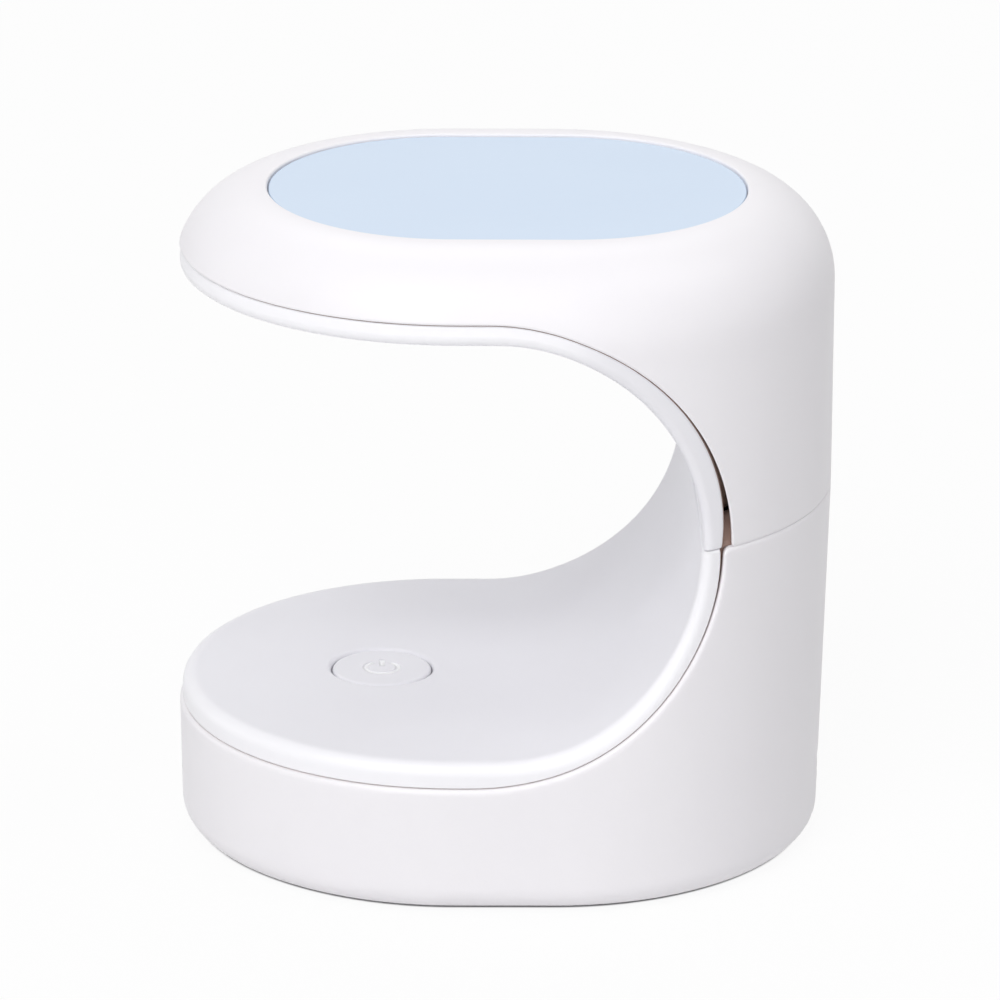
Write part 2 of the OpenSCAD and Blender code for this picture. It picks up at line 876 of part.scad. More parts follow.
module socket_contacts() {
    x = socket_end - 2 * tongue_sink - contact_size[0];
    color([0.85, 0.7, 0.3])
        for (i = [0:contacts - 1], side = [0, 1])
            translate([x, (i - (contacts - 1) / 2) * contact_pitch - contact_size[1] / 2, socket_z])
                mirror([0, 0, side])
                    translate([0, 0, tongue_size[2] / 2])
                        cube(contact_size);
}

// Moulded chip on two rows of legs; legs gives their number in a row and their pitch
module legged_chip(place, size, legs) {
    translate([place[0], place[1], board_top]) {
        block(size, leg_size[2]);
        for (i = [0:legs[0] - 1], side = [-1, 1])
            translate([(i - (legs[0] - 1) / 2) * legs[1], side * size[1] / 2, 0])
                block(leg_size, 0);
    }
}

module controller_chip() {
    color([0.13, 0.13, 0.14]) legged_chip(at_button + chip_shift, chip_size, chip_legs);
}

module power_transistor() {
    color([0.13, 0.13, 0.14])
        legged_chip(at_button + transistor_shift, transistor_size, transistor_legs);
}

// Round can on a square base; can gives its radius and its top above the board
module can_part(place, base, can) {
    translate([place[0], place[1], board_top]) {
        block(base, 0);
        post(can[0], base[2], can[1]);
    }
}

module power_inductor() {
    color([0.25, 0.25, 0.27]) can_part(at_connector + inductor_shift, inductor_base, inductor_can);
}

module filter_capacitors() {
    color([0.75, 0.76, 0.78]) {
        can_part(at_button + capacitor_shifts[0], capacitor_base, capacitor_can);
        can_part(at_connector + capacitor_shifts[1], capacitor_base, capacitor_can);
    }
}

module chip_resistors() {
    start = at_button + resistor_shift;
    color([0.16, 0.15, 0.15])
        for (i = [0:resistors - 1])
            translate([start[0] + i * resistor_pitch, start[1], board_top]) cube(resistor_size);
}

module wire_header() {
    inside = [header_size[0] - 2 * header_wall, header_size[1] - 2 * header_wall, far];
    color([0.93, 0.92, 0.88])
    translate([connector_x, 0, 0])
        difference() {
            block(header_size, board_top);
            block(inside, plug_z);
        }
}

module wire_plug() {
    color([0.96, 0.95, 0.92]) translate([connector_x, 0, 0]) block(plug_size, plug_z);
}

// One wire: up the column, round a bend and along the lamp board
module lamp_wire(side) {
    bend_z = wire_z - wire_bend;
    translate([0, side * wire_pitch / 2, 0]) {
        translate([connector_x, 0, 0]) post(wire_d / 2, plug_top, bend_z);
        translate([connector_x - wire_bend, 0, bend_z])
            rotate([90, 0, 0])
                rotate_extrude(angle = 90)
                    translate([wire_bend, 0]) circle(d = wire_d);
        translate([wire_end_x, 0, wire_z])
            rotate([0, 90, 0]) cylinder(d = wire_d, h = connector_x - wire_bend - wire_end_x);
    }
}

module red_wire() {
    color([0.75, 0.1, 0.1]) lamp_wire(1);
}

module black_wire() {
    color([0.08, 0.08, 0.08]) lamp_wire(-1);
}

module wire_joints() {
    color([0.78, 0.79, 0.8])
        for (side = [-1, 1])
            translate([wire_end_x - joint_size[0], side * wire_pitch / 2, lamp_board_top])
                cylinder(r1 = joint_size[0], r2 = joint_size[1], h = joint_size[2]);
}

module rubber_feet() {
    color([0.82, 0.83, 0.84])
        at_both_ends(foot_x, foot_y) post(foot_d / 2, 0, under_z + foot_sink);
}

upper_shell();
lower_shell();
upper_liner();
lower_liner();
top_panel();
panel_film();
lamp_window();
lamp_board();
lamp_beads();
lamp_domes();
lamp_board_screws();
head_screws();
column_screws();
pad_screws();
button_cap();
switch_housing();
switch_cover();
switch_plunger();
switch_dome();
control_board();
board_screws();
socket_shell();
socket_tongue();
socket_contacts();
controller_chip();
power_transistor();
power_inductor();
filter_capacitors();
chip_resistors();
wire_header();
wire_plug();
red_wire();
black_wire();
wire_joints();
rubber_feet();
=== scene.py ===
import bisect
import math

import bmesh
import bpy
from mathutils import Matrix, Vector


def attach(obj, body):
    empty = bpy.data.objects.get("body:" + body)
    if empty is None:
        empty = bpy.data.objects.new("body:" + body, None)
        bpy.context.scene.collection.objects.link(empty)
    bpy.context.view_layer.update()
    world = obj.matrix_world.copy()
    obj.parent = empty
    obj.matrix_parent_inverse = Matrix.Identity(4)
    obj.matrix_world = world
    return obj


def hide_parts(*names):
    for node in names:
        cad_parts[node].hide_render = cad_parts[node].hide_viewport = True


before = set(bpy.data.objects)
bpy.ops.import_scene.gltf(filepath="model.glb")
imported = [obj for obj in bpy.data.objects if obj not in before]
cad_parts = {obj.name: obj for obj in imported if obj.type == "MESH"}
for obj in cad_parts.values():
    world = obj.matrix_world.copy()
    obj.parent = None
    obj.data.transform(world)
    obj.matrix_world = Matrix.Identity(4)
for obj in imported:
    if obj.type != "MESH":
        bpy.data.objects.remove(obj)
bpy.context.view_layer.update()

# -------- sizes, in millimetres
MM = 0.001
# plan of the body: half the length of its spine, and the radius of its ends at the seam
SPINE = 6.15
R_SEAM = 33.85
SEAM_Z = 44.6
UNDER_Z = 0.4
TOP_Z = 81.1
PAD_Z = 19.3
HEAD_Z = 71.2
SHELL_T = 2.2
FLOOR_Z = 2.4
ROOF_Z = 77.8
BACK_X = 30
SEAM_GAP = 0.03
TONGUE_H = 3.6
UPPER_LEAN = math.radians(0.43)
LOWER_LEAN = math.radians(1.15)
TOP_ROUND = 10.8
BASE_ROUND = 3.0
LINER_INSET = 0.4
LINER_SPLIT = 0.05

# face at the seam, length and height of each quarter curve
SLOT_LOW = (23.05, 24.2, 25.3)
SLOT_UP = (23.2, 24.6, 26.6)
CUT_LOW = (25.55, 29.55, 28.34)
CUT_UP = (26.55, 28.75, 29.3)
# gap between a shell's cut and the liner: at the flat, how much it widens to the seam, and the power
GAP_LOW = (0.01, 0.3, 8)
GAP_UP = (0.02, 1.08, 5)

PANEL_X = 0.3
PANEL_L = 57.4
PANEL_W = 43.6
PANEL_T = 0.8
PANEL_Z = 80.0
PANEL_GAP = 0.15
RECESS_Z = 79.8

BUTTON_X = -14.6
CAP_R = 6.1
CAP_GAP = 0.14
CAP_Z = 19.2
LAMP_X = -9.0
WINDOW_L = 16.4
WINDOW_W = 10.0

SOCKET_W = 8.94
SOCKET_T = 3.2
SOCKET_GAP = 0.18
SOCKET_Z = 8.7
SOCKET_BACK = 30.479
SOCKET_MOUTH = 39.0
SOCKET_WALL = 0.3
# how far above and below the socket the folds of the wall's mesh belong to its hole
SOCKET_ZONE = 3
# patch of the outer wall that is made anew round the socket: half its width and half its height
PATCH_Y, PATCH_Z = 7.5, 4.4

CAP_FLANGE_Z = 13.15
CAP_UNDER_Z = 12.15
CAP_FLANGE = 1.0
MARK_R = 2.0
MARK_W = 0.65
MARK_DEPTH = 0.1
MARK_OPENING = math.radians(32)

# holes in the underside: place, radius and depth; each has a twin on the other side
FOOT_X, FOOT_Y, FOOT_R, FOOT_DEPTH = 17.0, 23.0, 4.1, 0.8
PAD_SCREW_X, PAD_SCREW_Y, PAD_WELL = -25.0, 14.0, 6.1
COLUMN_SCREW_X, COLUMN_SCREW_Y, COLUMN_WELL = 29.6, 14.09, 36.2
SCREW_WELL_R = 2.505
FLOOR_HOLES = [
    (-FOOT_X, FOOT_Y, FOOT_R, FOOT_DEPTH),
    (FOOT_X, FOOT_Y, FOOT_R, FOOT_DEPTH),
    (COLUMN_SCREW_X, COLUMN_SCREW_Y, SCREW_WELL_R, COLUMN_WELL),
    (PAD_SCREW_X, PAD_SCREW_Y, SCREW_WELL_R, PAD_WELL),
]
# collar of the button and posts of the pad's screws: inner radius, outer radius, lower end, upper end
COLLAR = (CAP_R + 0.1, CAP_R + 2.0, 13.4, PAD_Z - 1.2)
PAD_POST = (1.2, 2.7, 9.5, 17.0)
# ribs in the gaps between shells and liners, coloured with the painted shade of the unseen sides: from and
# to where on the cut, and their depths
TONGUE_RIB = (math.acos(TONGUE_H / CUT_UP[2]), math.pi / 2, (2.6, 0.95, 0.5))
LOW_RIB = (1.1, math.pi / 2, (1.6, 1.3, 1))
UP_RIB = (0.25, 1.44, (1.4, 3.4, 7))

# roundings: of a shell's rim, of its seam and of the corner between them, and the rows that follow them
UPPER_ROUNDS, UPPER_ROWS = (0.35, 0.45, 0.5), [0, 0.01, 0.04, 0.09, 0.16, 0.25, 0.36, 0.5, 1.4]
LOWER_ROUNDS, LOWER_ROWS = (0.8, 0.45, 1.0), [0, 0.05, 0.19, 0.41, 0.69, 1.0, 1.3, 2.2]
# the seam's rounding is a shallow groove that turns into the rim's rounding over this distance
GROOVE, GROOVE_FROM, GROOVE_TO = 0.4, -0.6, 2.0
# roundings that a modifier makes, and the widest of them
WIDEST = 2.5
INNER_ROUND = 0.12
RECESS_ROUND = 0.3
WELL_ROUND = 0.15
SOCKET_HOLE_ROUND = 0.2
SEAM_ROUND = 0.35
LOW_RIM_ROUND, LOW_RIM_MORE, LOW_BACK_ROUND = 1.65, 0.5, 0.2
UP_RIM_ROUND, UP_BACK_ROUND = 1.5, 0.45
BUTTON_HOLE_ROUND = 0.6
WINDOW_ROUND = 0.25
PANEL_ROUND = 0.18
CAP_ROUND, MARK_ROUND, FLANGE_ROUND = 0.5, 0.08, 0.2
MOUTH_ROUND, SOCKET_BACK_ROUND = 0.1, 0.15
FOLD = math.radians(32)
# how near a point has to be to a face to count as on it
LEVEL = 0.05

# rows and columns of the meshes
CURVE_STEPS = 240
TIP_COLUMNS, CORNER_COLUMNS, SEAM_COLUMNS = 44, 56, 44
UPPER_COUNTS, LOWER_COUNTS = (26, 12), (24, 16)
# the last lines that fan out over a shell end this angle short of the seam, and this far from it
SEAM_ANGLE, SEAM_BAND = 0.08, 1.5
LINER_COLUMNS, COLUMN_COLUMNS, LINER_ROWS = 66, 46, 18
# where the liners' lines from the hole give way to those from the middle of the column
MEET = 4.0
SOCKET_SEGMENTS = 56
RIB_STEPS, RIB_REACH, RIB_T = 40, (-1.5, 0.0, 1.2), 0.6


def blend01(a, b, x):
    """0 below a, 1 above b, with an even passage between."""
    t = min(1.0, max(0.0, (x - a) / (b - a)))
    return t * t * (3 - 2 * t)


class Wall:
    """Half section of a leaning wall that ends in a rounded edge and a flat, measured from the seam."""

    def __init__(self, r, z_end, lean, radius):
        self.r, self.lean, self.radius = r, lean, radius
        self.side = 1 if z_end > SEAM_Z else -1
        self.height = abs(z_end - SEAM_Z)
        self.cz = self.height - radius
        self.cx = r - self.cz * math.tan(lean) - radius / math.cos(lean)
        self.turn = self.cz + radius * math.sin(lean)
        self.straight = self.turn / math.cos(lean)
        self.arc = radius * (math.pi / 2 - lean)

    def rho(self, h):
        if h <= self.turn:
            return self.r - h * math.tan(self.lean)
        return self.cx + math.sqrt(max(0.0, self.radius ** 2 - (h - self.cz) ** 2))

    def along(self, h):
        if h <= self.turn:
            return h / math.cos(self.lean)
        return self.straight + self.radius * (math.asin((h - self.cz) / self.radius) - self.lean)

    def at(self, w):
        if w <= self.straight:
            return self.r - w * math.sin(self.lean), w * math.cos(self.lean)
        if w <= self.straight + self.arc:
            a = self.lean + (w - self.straight) / self.radius
            return self.cx + self.radius * math.cos(a), self.cz + self.radius * math.sin(a)
        return self.cx - (w - self.straight - self.arc), self.height


UPPER = Wall(R_SEAM, TOP_Z, UPPER_LEAN, TOP_ROUND)
LOWER = Wall(R_SEAM, UNDER_Z, LOWER_LEAN, BASE_ROUND)
UPPER_IN = Wall(R_SEAM - SHELL_T, ROOF_Z, UPPER_LEAN, TOP_ROUND - SHELL_T)
LOWER_IN = Wall(R_SEAM - SHELL_T, FLOOR_Z, LOWER_LEAN, BASE_ROUND / 2)
UPPER_INSET = Wall(R_SEAM - LINER_INSET, TOP_Z - LINER_INSET, UPPER_LEAN, TOP_ROUND - LINER_INSET)
LOWER_INSET = Wall(R_SEAM - LINER_INSET, UNDER_Z + LINER_INSET, LOWER_LEAN, BASE_ROUND)

QUARTER = R_SEAM * math.pi / 2
TIP_U = 2 * QUARTER + 2 * SPINE


class Strip:
    """Side view of a liner face: flat towards the tip, then a quarter curve up or down to the seam."""

    def __init__(self, face, length, height, side):
        self.cx, self.length, self.height, self.side = face - length, length, height, side
        self.turns = [math.pi / 2 * i / CURVE_STEPS for i in range(CURVE_STEPS + 1)]
        self.runs = [self.cx]
        for t0, t1 in zip(self.turns, self.turns[1:]):
            step = math.hypot(length * (math.sin(t1) - math.sin(t0)), height * (math.cos(t1) - math.cos(t0)))
            self.runs.append(self.runs[-1] + step)
        self.end = self.run_of(math.acos(LINER_SPLIT / 2 / height))

    def run_of(self, t):
        place = t / (math.pi / 2) * CURVE_STEPS
        i = min(CURVE_STEPS - 1, int(place))
        return self.runs[i] + (self.runs[i + 1] - self.runs[i]) * (place - i)

    def at(self, s):
        if s <= self.cx:
            return s, SEAM_Z + self.side * self.height
        i = min(CURVE_STEPS - 1, bisect.bisect_right(self.runs, s) - 1)
        t = math.pi / 2 / CURVE_STEPS * (i + (s - self.runs[i]) / (self.runs[i + 1] - self.runs[i]))
        return self.cx + self.length * math.sin(t), SEAM_Z + self.side * self.height * math.cos(t)

    def run_at(self, x, z):
        if x <= self.cx:
            return x
        return self.run_of(math.atan2((x - self.cx) / self.length, abs(z - SEAM_Z) / self.height))


class Edge(Strip):
    """Hidden face of a liner: the cut of a shell, less a gap that widens towards the seam."""

    def __init__(self, cut, side, gap):
        self.gap, self.widening, self.power = gap
        super().__init__(*cut, side)

    def at(self, s):
        x, z = super().at(s)
        t = math.asin(min(1.0, max(0.0, (x - self.cx) / self.length)))
        gap = self.gap + self.widening * (t / (math.pi / 2)) ** self.power
        nx, nz = math.sin(t) / self.length, math.cos(t) / self.height
        n = math.hypot(nx, nz)
        return x - gap * nx / n, z - self.side * gap * nz / n


LOW_STRIP, UP_STRIP = Strip(*SLOT_LOW, -1), Strip(*SLOT_UP, 1)
LOW_EDGE, UP_EDGE = Edge(CUT_LOW, -1, GAP_LOW), Edge(CUT_UP, 1, GAP_UP)


def around(u, rho):
    """Point of the oblong plan at a distance u along it from the back, rho from its spine."""
    if u < QUARTER:
        a = u / R_SEAM
        return SPINE + rho * math.cos(a), rho * math.sin(a)
    if u < QUARTER + 2 * SPINE:
        return SPINE - (u - QUARTER), rho
    a = math.pi / 2 + (u - QUARTER - 2 * SPINE) / R_SEAM
    return -SPINE + rho * math.cos(a), rho * math.sin(a)


def u_of_x(x, rho):
    """Distance along the plan at which it has a given x."""
    if x > SPINE:
        return R_SEAM * math.acos(min(1.0, (x - SPINE) / rho))
    return QUARTER + SPINE - x


def half_width(x, rho):
    over = max(0.0, abs(x) - SPINE)
    return math.sqrt(max(0.0, rho * rho - over * over))


def solve(f, low, high):
    """Value between low and high at which the rising function f passes zero."""
    for _ in range(50):
        mid = (low + high) / 2
        if f(mid) < 0:
            low = mid
        else:
            high = mid
    return (low + high) / 2


def recess_width(u):
    """Width of the flat rim between the rounded edge and the panel recess."""
    half = (PANEL_L - PANEL_W) / 2
    r = PANEL_W / 2 + PANEL_GAP

    def outside(rho):
        x, y = around(u, rho)
        return math.hypot(max(0.0, abs(x - PANEL_X) - half), y) - r

    return UPPER.cx - solve(outside, 10.0, 40.0)


def spread(a, b, n):
    """Values from a to b in n even steps."""
    return [a + (b - a) * i / n for i in range(n + 1)]


def shares(length, near, count, far):
    """Shares of a line: fixed distances near both ends, even steps between them."""
    start, end = near[-1], length - far[-1]
    inner = [start + (end - start) * i / count for i in range(1, count)]
    return [d / length for d in near + inner + [length - d for d in reversed(far)]]


def grid_mesh(lines):
    """A grid of quads through lines of points, all with as many points."""
    bm = bmesh.new()
    columns, rows = len(lines) - 1, len(lines[0]) - 1
    bmesh.ops.create_grid(bm, x_segments=columns, y_segments=rows, size=1)
    for v in bm.verts:
        i = round((v.co.x + 1) / 2 * columns)
        j = round((v.co.y + 1) / 2 * rows)
        v.co = Vector(lines[i][j])
    return bm


def mirrored(bm):
    """Half of a sheet with its mirror image across the middle of the body."""
    bmesh.ops.mirror(bm, geom=bm.verts[:] + bm.edges[:] + bm.faces[:], axis="Y", merge_dist=1e-3)
    bmesh.ops.remove_doubles(bm, verts=bm.verts[:], dist=1e-3)
    return bm


def thicken(bm, inner):
    """Gives a sheet its other side, by a rule that says where each point of it goes."""
    front = set(bm.verts)
    made = bmesh.ops.extrude_face_region(bm, geom=bm.faces[:], use_keep_orig=True)
    back = {g for g in made["geom"] if isinstance(g, bmesh.types.BMVert)}
    for v in back:
        v.co = Vector(inner(*v.co))
    walls = [f for f in bm.faces if not front.isdisjoint(f.verts) and not back.isdisjoint(f.verts)]
    edges = dict.fromkeys(e for f in walls for e in f.edges)
    front_rim = [e for e in edges if front.issuperset(e.verts)]
    back_rim = [e for e in edges if back.issuperset(e.verts)]
    # the other side takes the second finish, which on the shells and liners is painted shade
    for f in bm.faces:
        if back.issuperset(f.verts):
            f.material_index = 1
    return walls, front_rim, back_rim


def made_verts(made):
    return [g for g in made["geom"] if isinstance(g, bmesh.types.BMVert)]


def linked_edges(verts):
    return list(dict.fromkeys(e for v in verts for e in v.link_edges))


def carried_on(bm, edges):
    """Adds a strip of faces to open edges and gives its outer edges and their points."""
    made = bmesh.ops.extrude_edge_only(bm, edges=edges)
    ends = set(made_verts(made))
    return [g for g in made["geom"] if isinstance(g, bmesh.types.BMEdge) and ends.issuperset(g.verts)], ends


def moved_on(bm, edges, shift):
    """Carries open edges on in one direction and gives the new edges."""
    edges, ends = carried_on(bm, edges)
    bmesh.ops.translate(bm, verts=list(ends), vec=shift)
    return edges


def finish(bm, name, radius_of):
    """Makes the object. radius_of gives the radius that a fold of the mesh is rounded to, by its middle."""
    bmesh.ops.recalc_face_normals(bm, faces=bm.faces[:])
    layer = bm.edges.layers.float.new("bevel_weight_edge")
    for e in bm.edges:
        if len(e.link_faces) == 2 and e.calc_face_angle() > FOLD:
            e[layer] = radius_of((e.verts[0].co + e.verts[1].co) / 2, e) / WIDEST
    bmesh.ops.scale(bm, vec=(MM, MM, MM), verts=bm.verts[:])
    mesh = bpy.data.meshes.new(name)
    bm.to_mesh(mesh)
    bm.free()
    mesh.shade_smooth()
    ob = bpy.data.objects.new(name, mesh)
    bpy.context.scene.collection.objects.link(ob)
    bevel = ob.modifiers.new("edges", "BEVEL")
    bevel.limit_method = "WEIGHT"
    bevel.width = WIDEST * MM
    bevel.segments = 4
    bevel.profile = 0.5
    bevel.use_clamp_overlap = False
    bevel.harden_normals = True
    return ob


# -------- the two outer shells
def eased_corner(a, b, r):
    """Point of a square corner, a and b from its sides, on the same ring of a corner rounded to r."""
    q = r - min(a, b)
    t = abs(b - a)
    if t >= q:
        return a, b
    turn = math.pi / 4 * (1 - t / q)
    side, along = r - q * math.cos(turn), r - q * math.sin(turn)
    return (side, along) if b >= a else (along, side)


def shell_lines(wall, cut, gap, outer_w, radii, steps, far, count, turns):
    """Lines across half of a shell, from its C-shaped rim and seam to its other edge.

    radii are those of the rim's rounding, of the seam's, and of the corner between them. steps are the
    distances of the rows that follow the rim and the seam, and far those of the rows at the other edge.
    """
    face, length, height = cut
    cx = face - length
    rim_r, seam_r, corner_r = radii

    def rim_at(w):
        h = w * math.cos(wall.lean)
        return u_of_x(cx + length * math.sqrt(max(0.0, 1 - (h / height) ** 2)), wall.rho(h))

    def rim(t):
        h = height * math.cos(t)
        return u_of_x(cx + length * math.sin(t), wall.rho(h)), wall.along(h)

    start_u, rim_w = rim(0.0)
    last_t = math.acos(gap / height)

    def turn(t):
        u, w = rim(t)
        return math.atan2(start_u - u, w - gap)

    corner = math.atan2(start_u, outer_w(0.0) - gap)
    wall_end = math.atan2(start_u, wall.straight - gap)
    pairs = [((u, rim_w), (u, outer_w(u))) for u in spread(TIP_U, start_u, TIP_COLUMNS)]
    angles = spread(0, corner, CORNER_COLUMNS) + spread(corner, wall_end, turns)[1:]
    angles += spread(wall_end, math.pi / 2 - SEAM_ANGLE, SEAM_COLUMNS)[1:]
    for angle in angles[1:]:
        t = solve(lambda x: turn(x) - angle, 0.0, last_t)
        if angle < corner + 1e-9:
            u = solve(lambda x: math.tan(angle) - (start_u - x) / (outer_w(x) - gap), 0.0, start_u)
            pairs.append((rim(t), (u, outer_w(u))))
        else:
            pairs.append((rim(t), (0.0, gap + start_u / math.tan(angle))))
    for b in reversed(steps):
        if b < SEAM_BAND:
            pairs.append(((rim_at(gap + b), gap + b), (0.0, gap + b)))
    lines = []
    for (u0, w0), (u1, w1) in pairs:
        whole = math.hypot(u1 - u0, w1 - w0)
        away = min(corner, math.atan2(abs(u1 - u0), w1 - w0))
        row = []
        for s in shares(whole, steps, count, [d / math.cos(away) for d in far]):
            u, w = u0 + (u1 - u0) * s, w0 + (w1 - w0) * s
            a, b = whole * s, w - gap
            rim_share = blend01(GROOVE_FROM, GROOVE_TO, b - a)
            r = seam_r + (rim_r - seam_r) * rim_share
            d = min(a, b)
            if d < corner_r and abs(b - a) < corner_r:
                a, b = eased_corner(a, b, corner_r)
                u, w = rim_at(gap + b) - a, gap + b
            rho, h = wall.at(w)
            x, y = around(u, rho)
            if d < r:
                groove = GROOVE * r * (1 - d / r) ** 2
                rounded = r - math.sqrt(r * r - (r - d) ** 2)
                x, y = drawn_in(x, y, rho - groove - rim_share * (rounded - groove))
            row.append((x, y, SEAM_Z + wall.side * h))
        lines.append(row)
    return lines


def drawn_in(x, y, rho_in):
    """A point of the wall moved in towards the spine of the plan, without leaving its X near the slot."""
    spine = min(SPINE, max(-SPINE, x))
    a = math.atan2(abs(y), x - spine)
    if x > SPINE:
        level = math.acos(min(1.0, math.hypot(x - spine, y) * math.cos(a) / rho_in))
        a -= blend01(math.radians(25), math.radians(48), a) * (a - level)
    return spine + rho_in * math.cos(a), math.copysign(rho_in * math.sin(a), y)


def inside(outer, inner, rim_h):
    """Rule for the inner side of a shell: level with the outer side at the rim, at the inner wall beyond."""
    def rule(x, y, z):
        h = abs(z - SEAM_Z)
        past = max(0.0, (h - rim_h) / (outer.height - rim_h))
        h_in = h - past * (outer.height - inner.height)
        spine = min(SPINE, max(-SPINE, x))
        rho = math.hypot(x - spine, y)
        rho_in = inner.cx * rho / outer.cx if rho < outer.cx else inner.rho(h_in)
        x, y = drawn_in(x, y, rho_in)
        return x, y, SEAM_Z + outer.side * h_in
    return rule


def on_outer(wall, p, slack=0.08):
    """Whether a point lies on the outer side of a shell."""
    spine = min(SPINE, max(-SPINE, p.x))
    return math.hypot(p.x - spine, p.y) > wall.rho(abs(p.z - SEAM_Z)) - slack


def add_tube(bm, x, y, r_in, r_out, z0, z1):
    """A post with a hole, turned about its axis."""
    ring = [(r_in, z0), (r_out, z0), (r_out, z1), (r_in, z1)]
    verts = [bm.verts.new((x + r, y, z)) for r, z in ring]
    edges = [bm.edges.new((verts[i], verts[(i + 1) % 4])) for i in range(4)]
    bmesh.ops.spin(bm, geom=verts + edges, cent=(x, y, 0), axis=(0, 0, 1), angle=2 * math.pi,
                   steps=32, use_merge=True, use_duplicate=False)


def add_lip(bm, wall, cut, side, t0, t1, depths):
    """A rib that bridges the gap between a liner and a shell, along the cut from t0 to t1.

    depths are how deep it lies below the wall at its two ends, and the power of the passage between them.
    """
    face, length, height = cut
    lines = []
    for t in spread(t0, t1, RIB_STEPS):
        nx, nz = math.sin(t) / length, math.cos(t) / height
        n = math.hypot(nx, nz)
        share = (t - t0) / (t1 - t0)
        depth = depths[0] + (depths[1] - depths[0]) * share ** depths[2]
        row = []
        for reach in RIB_REACH:
            x = face - length + length * math.sin(t) + reach * nx / n
            h = height * math.cos(t) + reach * nz / n
            row.append((x, side * half_width(x, wall.rho(h) - depth), SEAM_Z + wall.side * h))
        lines.append(row)
    rib = grid_mesh(lines)
    thicken(rib, lambda x, y, z: (x, y - side * RIB_T, z))
    # the rib takes the unseen sides' painted shade
    for f in rib.faces:
        f.material_index = 1
    mesh = bpy.data.meshes.new("rib")
    rib.to_mesh(mesh)
    rib.free()
    bm.from_mesh(mesh)
    bpy.data.meshes.remove(mesh)


def past(parts, z, side):
    """Those edges or faces that lie wholly at a height or beyond it, upwards or downwards."""
    return [g for g in parts if all(side * (v.co.z - z) > -0.01 for v in g.verts)]


def upper_shell():
    def outer_w(u):
        return UPPER.straight + UPPER.arc + recess_width(u)

    bm = grid_mesh(shell_lines(UPPER, CUT_UP, SEAM_GAP, outer_w, UPPER_ROUNDS, UPPER_ROWS, [0, 0.5],
                               *UPPER_COUNTS))
    mirrored(bm)
    walls, front, back = thicken(bm, inside(UPPER, UPPER_IN, CUT_UP[2]))
    recess, top, roof = past(walls, ROOF_Z, 1), past(front, TOP_Z, 1), past(back, ROOF_Z, 1)
    # the recess wall goes down to the ledge that carries the film and the panel
    bmesh.ops.delete(bm, geom=recess, context="FACES")
    bmesh.ops.contextual_create(bm, geom=moved_on(bm, top, (0, 0, RECESS_Z - TOP_Z)))
    bmesh.ops.contextual_create(bm, geom=roof)
    return bm


def upper_shell_radius(p, e):
    if p.z > RECESS_Z - LEVEL:
        return RECESS_ROUND if p.z > TOP_Z - LEVEL else 0.0
    return 0.0 if p.z > ROOF_Z - LEVEL or on_outer(UPPER, p, SHELL_T / 2) else INNER_ROUND


def socket_outline(bm, grow):
    """Ring of points round the power socket, on the outer wall."""
    half = (SOCKET_W - SOCKET_T) / 2
    made = bmesh.ops.create_circle(bm, segments=SOCKET_SEGMENTS, radius=SOCKET_T / 2 + grow)
    for v in made["verts"]:
        y = v.co.x + (half if v.co.x > 0 else -half)
        z = SOCKET_Z + v.co.y
        v.co = Vector((SPINE + math.sqrt(LOWER.rho(SEAM_Z - z) ** 2 - y * y), y, z))
    return linked_edges(made["verts"])


def by_socket(verts, slack):
    return all(v.co.x > BACK_X and abs(v.co.y) < PATCH_Y + slack and abs(v.co.z - SOCKET_Z) < PATCH_Z + slack
               for v in verts)


def cut_socket(bm):
    """Replaces a patch of the outer wall by one that has the socket's hole in it."""
    bmesh.ops.delete(bm, geom=[f for f in bm.faces if by_socket(f.verts, 0)], context="FACES")
    edge = [e for e in bm.edges if len(e.link_faces) == 1 and by_socket(e.verts, 0.1)]
    ring = socket_outline(bm, SOCKET_GAP)
    wide = socket_outline(bm, SOCKET_GAP + 0.7)
    bmesh.ops.bridge_loops(bm, edges=ring + wide)
    bmesh.ops.triangle_fill(bm, edges=edge + wide, use_beauty=True, use_dissolve=False, normal=(1, 0, 0))


def lower_shell():
    margin = 0.5
    total = LOWER.straight + LOWER.arc + margin
    far = [0] + spread(margin, margin + LOWER.arc, 8) + [6.0]
    bm = grid_mesh(shell_lines(LOWER, CUT_LOW, 0.0, lambda u: total, LOWER_ROUNDS, LOWER_ROWS, far,
                               *LOWER_COUNTS))
    mirrored(bm)
    cut_socket(bm)
    walls, front, back = thicken(bm, inside(LOWER, LOWER_IN, CUT_LOW[2]))
    base, floor, inner = past(walls, FLOOR_Z, -1), past(front, UNDER_Z, -1), past(back, FLOOR_Z, -1)
    bmesh.ops.delete(bm, geom=base, context="FACES")
    bmesh.ops.contextual_create(bm, geom=inner)
    wells = []
    for x, y, r, depth in FLOOR_HOLES:
        for side in (-1, 1):
            place = Matrix.Translation((x, side * y, UNDER_Z))
            made = bmesh.ops.create_circle(bm, segments=48, radius=r, matrix=place)
            wells.append((linked_edges(made["verts"]), depth))
    bmesh.ops.triangle_fill(bm, edges=floor + [e for ring, _ in wells for e in ring], use_beauty=True,
                            use_dissolve=False, normal=(0, 0, -1))
    for ring, depth in wells:
        bmesh.ops.contextual_create(bm, geom=moved_on(bm, ring, (0, 0, depth)))
    for side in (-1, 1):
        add_lip(bm, UPPER, CUT_UP, side, *TONGUE_RIB)
        add_lip(bm, LOWER, CUT_LOW, side, *LOW_RIB)
    return bm


def lower_shell_radius(p, e):
    if p.z < UNDER_Z + LEVEL:
        return WELL_ROUND
    if p.z < FLOOR_Z + LEVEL or p.z < SOCKET_Z - SOCKET_ZONE:
        return 0.0
    if p.z < SOCKET_Z + SOCKET_ZONE and p.x > BACK_X:
        return SOCKET_HOLE_ROUND if on_outer(LOWER, p) else 0.0
    return 0.0 if on_outer(LOWER, p, SHELL_T / 2) else INNER_ROUND


